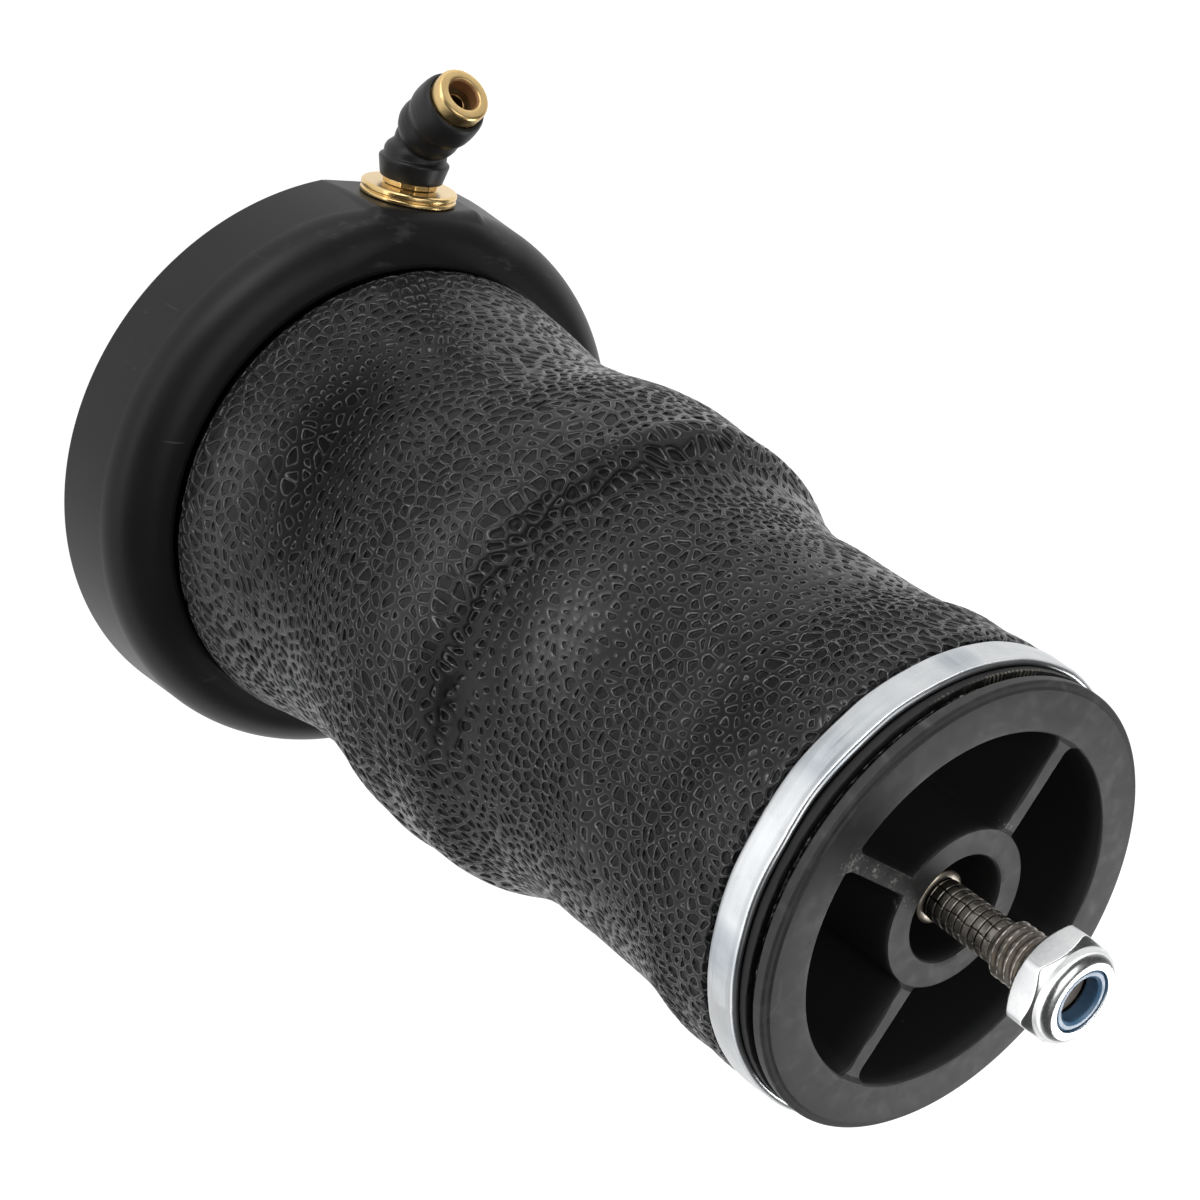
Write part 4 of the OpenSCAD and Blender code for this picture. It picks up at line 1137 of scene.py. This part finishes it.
def build_nut():
    z0, z1 = LENGTH + 18.6, LENGTH + 26.2
    af = 17.0
    zs = np.concatenate([np.linspace(0, 1.7, 16), np.linspace(1.9, 3.85, 7), np.linspace(3.9, 5.15, 26),
                         np.linspace(5.2, z1 - z0 - 1.8, 5)[1:]])
    lip = [(z1 - z0 - 1.8 + 1.8 * math.sin(a), 6.35 + 1.8 * math.cos(a)) for a in np.linspace(0, math.pi / 2, 16)[1:]]
    n = 360
    th = np.arange(n) * PI2 / n + math.radians(27.4)
    T, Z = np.meshgrid(th, zs)
    a = (T - math.radians(27.4)) % (PI2 / 6) - PI2 / 12
    hexr = (af / 2) / np.cos(a)
    k = 0.10
    corner = af / 2 / math.cos(math.pi / 6) - 0.28
    low = af / 2 - 0.45 + Z * math.tan(math.radians(60))
    high = af / 2 - 0.3 + (5.0 - Z) * math.tan(math.radians(55))
    stack = np.stack([hexr, np.full_like(hexr, corner), low, np.where(Z < 5.2, high, 1e3)])
    r = -k * np.log(np.exp(-(stack - stack.min(0)) / k).sum(0)) + stack.min(0)
    collar = 8.15
    r = np.maximum(r, np.where(Z > 4.5, collar, 0))
    r = np.where(Z > 5.1, collar, r)
    rows = [np.stack([r * np.cos(T), r * np.sin(T), Z + z0], -1)]
    ring = lambda rr, zz: np.stack([rr * np.cos(th), rr * np.sin(th), np.full(n, zz + z0)], -1)[None]
    for zz, rr in lip:
        rows.append(ring(rr, zz))
    h = z1 - z0
    inner = [(5.75, h), (5.52, h - 0.06), (5.48, h - 0.2), (5.48, h - 0.68), (6.66, h - 0.72), (6.66, 4.3), (5.08, 4.25)]
    for rr, zz in inner:
        rows.append(ring(rr, zz))
    # thread inside
    for zz in np.arange(4.1, 0.7, -0.1):
        tp = ((zz + z0) / 1.5 - T[0] / PI2) % 1.0
        rr = 5.06 + 0.0 * tp + 0.10 * np.abs(tp - 0.5)
        rows.append(np.stack([rr * np.cos(th), rr * np.sin(th), np.full(n, zz + z0)], -1)[None])
    rows.append(ring(5.1, 0.7))
    rows.append(ring(5.75, 0.02))
    rows.append(ring(5.95, 0.0))
    v = np.concatenate(rows, 0)
    q = grid_quads(len(v), n, True)
    v = v.reshape(-1, 3)
    if volume_sign(v, np.vstack([q[:, [0, 1, 2]], q[:, [0, 2, 3]]])) < 0:
        q = q[:, ::-1]
    o = mesh_from("lock_nut_zinc", v, [q], 40)
    wear(o, M_ZINC, "nut", "lock_nut", slot="nut_steel")
    ins = rounded([(3.95, 4.5, 0.2), (6.58, 4.5, 0.1), (6.58, 6.83, 0.1), (5.40, 6.83), (5.40, 7.1, 0.2),
                   (5.05, 7.36, 0.3), (4.35, 7.36, 0.3), (3.95, 7.0, 0.15)], 4)
    ins = split_long(ins, 0.4)
    o2 = lathe("lock_nut_nylon", [(r, z + z0) for r, z in ins], 180, sharp=45)
    wear(o2, M_NYLON, "nut_carrier", "lock_nut_insert", slot="nylon_blue")


# ---------------------------------------------------------------------------
# Air port
# ---------------------------------------------------------------------------
def build_port():
    R = 10.0
    prof = [(2.0, 50.2), (3.9, 50.2, 0.2), (4.85, 51.2, 0.2), (4.85, 52.2, 0.2), (4.3, 52.8), (4.3, 53.4), (4.85, 54),
            (4.85, 55, 0.2), (4.3, 55.6), (4.3, 56.2), (4.85, 56.8), (4.85, PAD_Y + 0.01), (R - 0.3, PAD_Y + 0.01, 0.15),
            (R, PAD_Y + 0.3, 0.15), (R, PAD_Y + 0.9, 0.2), (R - 0.45, PAD_Y + 1.22, 0.12), (R, PAD_Y + 1.5, 0.2),
            (R, HEX_Y - 0.3, 0.2), (R - 0.35, HEX_Y, 0.2), (6.0, HEX_Y, 0.2), (5.79, HEX_Y + 0.25, 0.1),
            (5.79, COLLAR_Y - 0.1, 0.05), (5.7, COLLAR_Y, 0.02),
            (4.6, COLLAR_Y), (4.6, COLLAR_Y + 1.2), (3.35, COLLAR_Y + 1.2), (3.35, COLLAR_Y + 3.1), (4.6, COLLAR_Y + 3.1),
            (4.6, COLLAR_Y + 3.9), (4, COLLAR_Y + 3.9), (4, COLLAR_Y + 4.8), (4.6, COLLAR_Y + 4.8), (4.6, 71.6), (4.2, 72.0),
            (2.0, 72.0)]
    prof = split_long(rounded(prof, 4), 0.5)

    def shape(r, t, z):
        a = (t - math.radians(8)) % (PI2 / 12) - PI2 / 24
        poly = 5.8 * math.cos(math.pi / 12) / np.cos(a)
        zone = (z > HEX_Y + 0.12) & (z < COLLAR_Y + 0.02) & (r > 5.3)
        return np.where(zone, np.minimum(r, poly), r), z

    o = lathe("port_adapter_brass", prof, 288, place=on_port, shape=shape, sharp=30)
    wear(o, M_BRASS, "cap_end", "port_adapter", slot="fitting_brass")


def build_elbow():
    Y = COLLAR_Y
    prof = [(0, Y + 0.1), (6.3, Y + 0.1, 0.2), (6.55, Y + 0.35, 0.2), (7.35, Y + 3.8, 0.15), (7.35, Y + 4.15, 0.15),
            (7.05, Y + 4.5, 0.15), (6.6, Y + 4.6, 0.1), (6.52, Y + 6.0, 0.5), (6.1, Y + 6.9, 0.6), (5.3, Y + 7.6, 0.5),
            (4.55, Y + 8.4, 0.4), (0, Y + 8.4)]
    o = lathe("elbow_moulding", split_long(rounded(prof, 4), 0.8, closed=False), 144, place=on_port, sharp=60)
    ball = lathe("ball", arc(0, BEND_Y, 4.87, -90, 90, 40), 144, place=on_port, sharp=60)
    barrel = lathe("barrel", split_long(rounded([(0, 0.3), (3.9, 0.3, 0.3), (5.1, 1.2, 0.8), (6.2, 2.5, 1.2), (6.75, 3.8, 1.5),
                                                 (6.87, 5.1, 1.5), (6.72, 6.4, 0.8), (6.42, 7.3, 0.25), (6.6, 7.7, 0.3),
                                                 (6.95, 8.4, 0.7), (7.22, 9.6, 1.5), (7.27, 11.2, 1.8), (7.17, 13, 1.5),
                                                 (6.97, 14.2, 0.8), (6.62, 14.9, 0.3), (6.3, 15.1, 0.15), (0, 15.1)], 4),
                                        0.8, closed=False), 144, place=on_barrel, sharp=60)
    boolean(o, [ball, barrel], "UNION", 60)
    m = o.modifiers.new("r", "REMESH")
    m.mode, m.voxel_size, m.use_smooth_shade = "VOXEL", 0.00016, True
    s = o.modifiers.new("s", "SMOOTH")
    s.factor, s.iterations = 0.5, 4
    apply_mods(o)
    cut = [lathe("sock", [(0, 64.0), (4.65, 64.0), (4.65, 72.3), (0, 72.3)], 96, place=on_port),
           lathe("clipg", [(0, Y + 3.85), (5.5, Y + 3.85), (5.5, Y + 4.85), (0, Y + 4.85)], 96, place=on_port),
           lathe("air", [(0, 65.0), (1.8, 65.0), (1.8, 73.8), (0, 73.8)], 48, place=on_port),
           lathe("air2", [(0, -0.9), (1.7, -0.9), (1.7, 5.1), (0, 5.1)], 48, place=on_barrel),
           lathe("seal", [(0, 3.6), (5.1, 3.6), (5.1, 7.6), (0, 7.6)], 96, place=on_barrel),
           lathe("cart", [(0, 7.2), (5.61, 7.2), (5.61, 13.3), (5.95, 13.3), (5.95, 14.95), (6.15, 15.2), (6.15, 16), (0, 16)], 144, place=on_barrel)]
    boolean(o, cut, sharp=40)
    wear(o, M_ELBOW, "elbow", "elbow_body", slot="fitting_plastic")

    c = lathe("cartridge_brass", split_long(rounded([(4.66, 7.85), (5.6, 7.85), (5.6, 13.1, 0.1), (5.4, 13.3, 0.1), (4.8, 13.3, 0.1),
                                                     (4.66, 13.1)], 3), 0.6), 144, place=on_barrel, sharp=40)
    wear(c, M_BRASS, "elbow", "collet_cartridge", slot="fitting_brass")
    t = lathe("tube_support_brass", split_long(rounded([(1.72, 3.6), (3.0, 3.6), (3.0, 4.0, 0.1), (2.2, 4.0),
                                                        (2.2, 14.6, 0.12), (2.0, 14.8, 0.1), (1.72, 14.8, 0.05)], 3), 0.6), 96,
              place=on_barrel, sharp=40)
    wear(t, M_BRASS, "elbow", "tube_support", slot="fitting_brass")
    r = [(3.6, 9.9), (4.0, 9.9, 0.1), (4.6, 10.7, 0.1), (4.6, 14.75), (5.6, 14.75, 0.1), (5.8, 14.95, 0.15),
         (5.8, 17.66, 0.35), (5.55, 18.05, 0.3), (5.3, 18.2, 0.3), (3.72, 18.2, 0.3), (3.25, 17.6, 0.4), (3.25, 15.1),
         (3.6, 14.7)]
    o = lathe("release_collet_brass", split_long(rounded(r, 4), 0.5), 192, place=on_barrel, sharp=40)
    wear(o, M_COLLET, "collet", "release_collet", slot="fitting_brass")


# ---------------------------------------------------------------------------
# Pieces inside: kept from CAD, with their own finishes
# ---------------------------------------------------------------------------
def finish_inner():
    for node, mat in (("bead_closure", M_CLOSURE), ("closure_o_ring", M_SEAL), ("upper_crimp_ring", M_RING),
                      ("bump_stop", M_FOAM), ("mounting_inserts", M_BRASS), ("port_gasket", M_SEAL),
                      ("swivel_o_ring", M_SEAL), ("swivel_clip", M_SPRING), ("tube_o_ring", M_SEAL),
                      ("backup_ring", M_BACKUP), ("grab_ring", M_SPRING), ("stud_o_ring", M_SEAL)):
        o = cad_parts[node]
        o.data.materials.clear()
        o.data.materials.append(mat)


build_cap()
build_sleeve()
build_ring()
build_stud_end()
build_stud()
build_nut()
build_port()
build_elbow()
finish_inner()

# ---------------------------------------------------------------------------
# Floor, light and camera
# ---------------------------------------------------------------------------
scene = bpy.context.scene
scene.view_settings.view_transform = "Standard"
scene.view_settings.look = "None"

floor = mesh_from("floor", [(-6000, -6000, -0.2), (6000, -6000, -0.2), (6000, 6000, -0.2), (-6000, 6000, -0.2)],
                  [np.array([[0, 1, 2, 3]])])
fm = Mat("floor_white")
fn = fm.noise(3, 2, 0.5)
fm.set(Base_Color=fm.mix(fn, (0.24, 0.24, 0.24), (0.27, 0.27, 0.27)), Roughness=0.9)
fm.b.inputs["Specular IOR Level"].default_value = 0.0
fm.b.inputs["Emission Color"].default_value = (1, 1, 1, 1)
# white round the part, and greyer towards the side that the picture was taken from
fx, fy, _ = fm.xyz()
left = fm.math("ADD", fm.math("MULTIPLY", fm.math("ADD", fx, 0.090), -0.99), fm.math("MULTIPLY", fm.math("SUBTRACT", fy, 0.089), -0.14))
near = fm.range(left, 0.0, 0.05, 0.96, 0.55)
fm.link(fm.math("ADD", near, fm.range(left, 0.10, 0.45, 0.0, 1.6)), fm.b.inputs["Emission Strength"])
floor.data.materials.append(fm.m)

# A studio round the part: a bright band at the horizon, a tall white panel on the far side, a dim ceiling
world = bpy.data.worlds.new("studio")
scene.world = world
world.use_nodes = True
wt = world.node_tree


def wnode(kind, op=None, *ins):
    n = wt.nodes.new(kind)
    if op:
        n.operation = op
    for i, v in enumerate(ins):
        if isinstance(v, bpy.types.NodeSocket):
            wt.links.new(v, n.inputs[i])
        elif v is not None:
            n.inputs[i].default_value = v
    return n


def wstep(v, a, b, c, d):
    n = wnode("ShaderNodeMapRange")
    n.interpolation_type = "SMOOTHSTEP"
    wt.links.new(v, n.inputs["Value"])
    for k, x in zip(("From Min", "From Max", "To Min", "To Max"), (a, b, c, d)):
        n.inputs[k].default_value = x
    return n.outputs[0]


where = wnode("ShaderNodeTexCoord").outputs["Generated"]
height = wnode("ShaderNodeSeparateXYZ", None, where).outputs[2]
facing = wnode("ShaderNodeVectorMath", "DOT_PRODUCT", where, (-0.848, 0.530, 0.0)).outputs["Value"]
keyside = wnode("ShaderNodeVectorMath", "DOT_PRODUCT", where, (-0.62, 0.78, 0.0)).outputs["Value"]
mul = lambda a, b: wnode("ShaderNodeMath", "MULTIPLY", a, b).outputs[0]
add = lambda a, b: wnode("ShaderNodeMath", "ADD", a, b).outputs[0]
band = mul(wstep(height, 0.05, 0.17, 5.5, 0.0), wstep(keyside, -0.1, 0.8, 0.2, 1.0))
panel = mul(wstep(height, 0.10, 0.50, 0.45, 0.0), wstep(facing, -0.35, 0.15, 1.0, 0.0))
ceiling = wstep(height, 0.80, 0.95, 0.07, 0.34)
wt.links.new(add(add(band, panel), ceiling), wt.nodes["Background"].inputs[1])
wt.nodes["Background"].inputs[0].default_value = (1, 1, 1, 1)


def area(name, loc, target, size, power, size_y=None):
    d = bpy.data.lights.new(name, "AREA")
    d.energy, d.size = power, size
    if size_y:
        d.shape, d.size_y = "RECTANGLE", size_y
    o = link(bpy.data.objects.new(name, d))
    o.location = loc
    o.rotation_euler = (Vector(target) - Vector(loc)).to_track_quat("-Z", "Y").to_euler()
    return o


# The camera's own axes in the part's frame, solved from the photograph
R = np.array([[0.77867, 0.21004, 0.5912], [-0.07091, -0.90681, 0.4157], [0.62338, -0.36564, -0.6912]])
C = Vector((-0.26067, 0.16179, 0.3852))
right, up, back = Vector(R[0]), Vector(-R[1]), Vector(-R[2])

# low soft key from the upper left of the picture, and a soft light from above
area("key", (-0.42, 0.66, 0.20), (0, 0, 0.09), 0.45, 1.6, 0.25)
area("top", (-0.10, 0.25, 1.0), (0, 0, 0.1), 0.7, 3.0, 0.7)
# a small light from behind, which the nut's rounded collar picks up
area("back", (0.527, -0.327, 0.551), (0, 0, 0.22), 0.28, 2.0)

cam_data = bpy.data.cameras.new("camera")
cam_data.sensor_width = 36.0
cam_data.lens = 36.0 * 2223.168 / 1200
cam_data.clip_start, cam_data.clip_end = 0.01, 20
cam = link(bpy.data.objects.new("camera", cam_data))
rot = Matrix((right, up, back)).transposed()
cam.matrix_world = Matrix.Translation(C) @ rot.to_quaternion().to_matrix().to_4x4()
scene.camera = cam
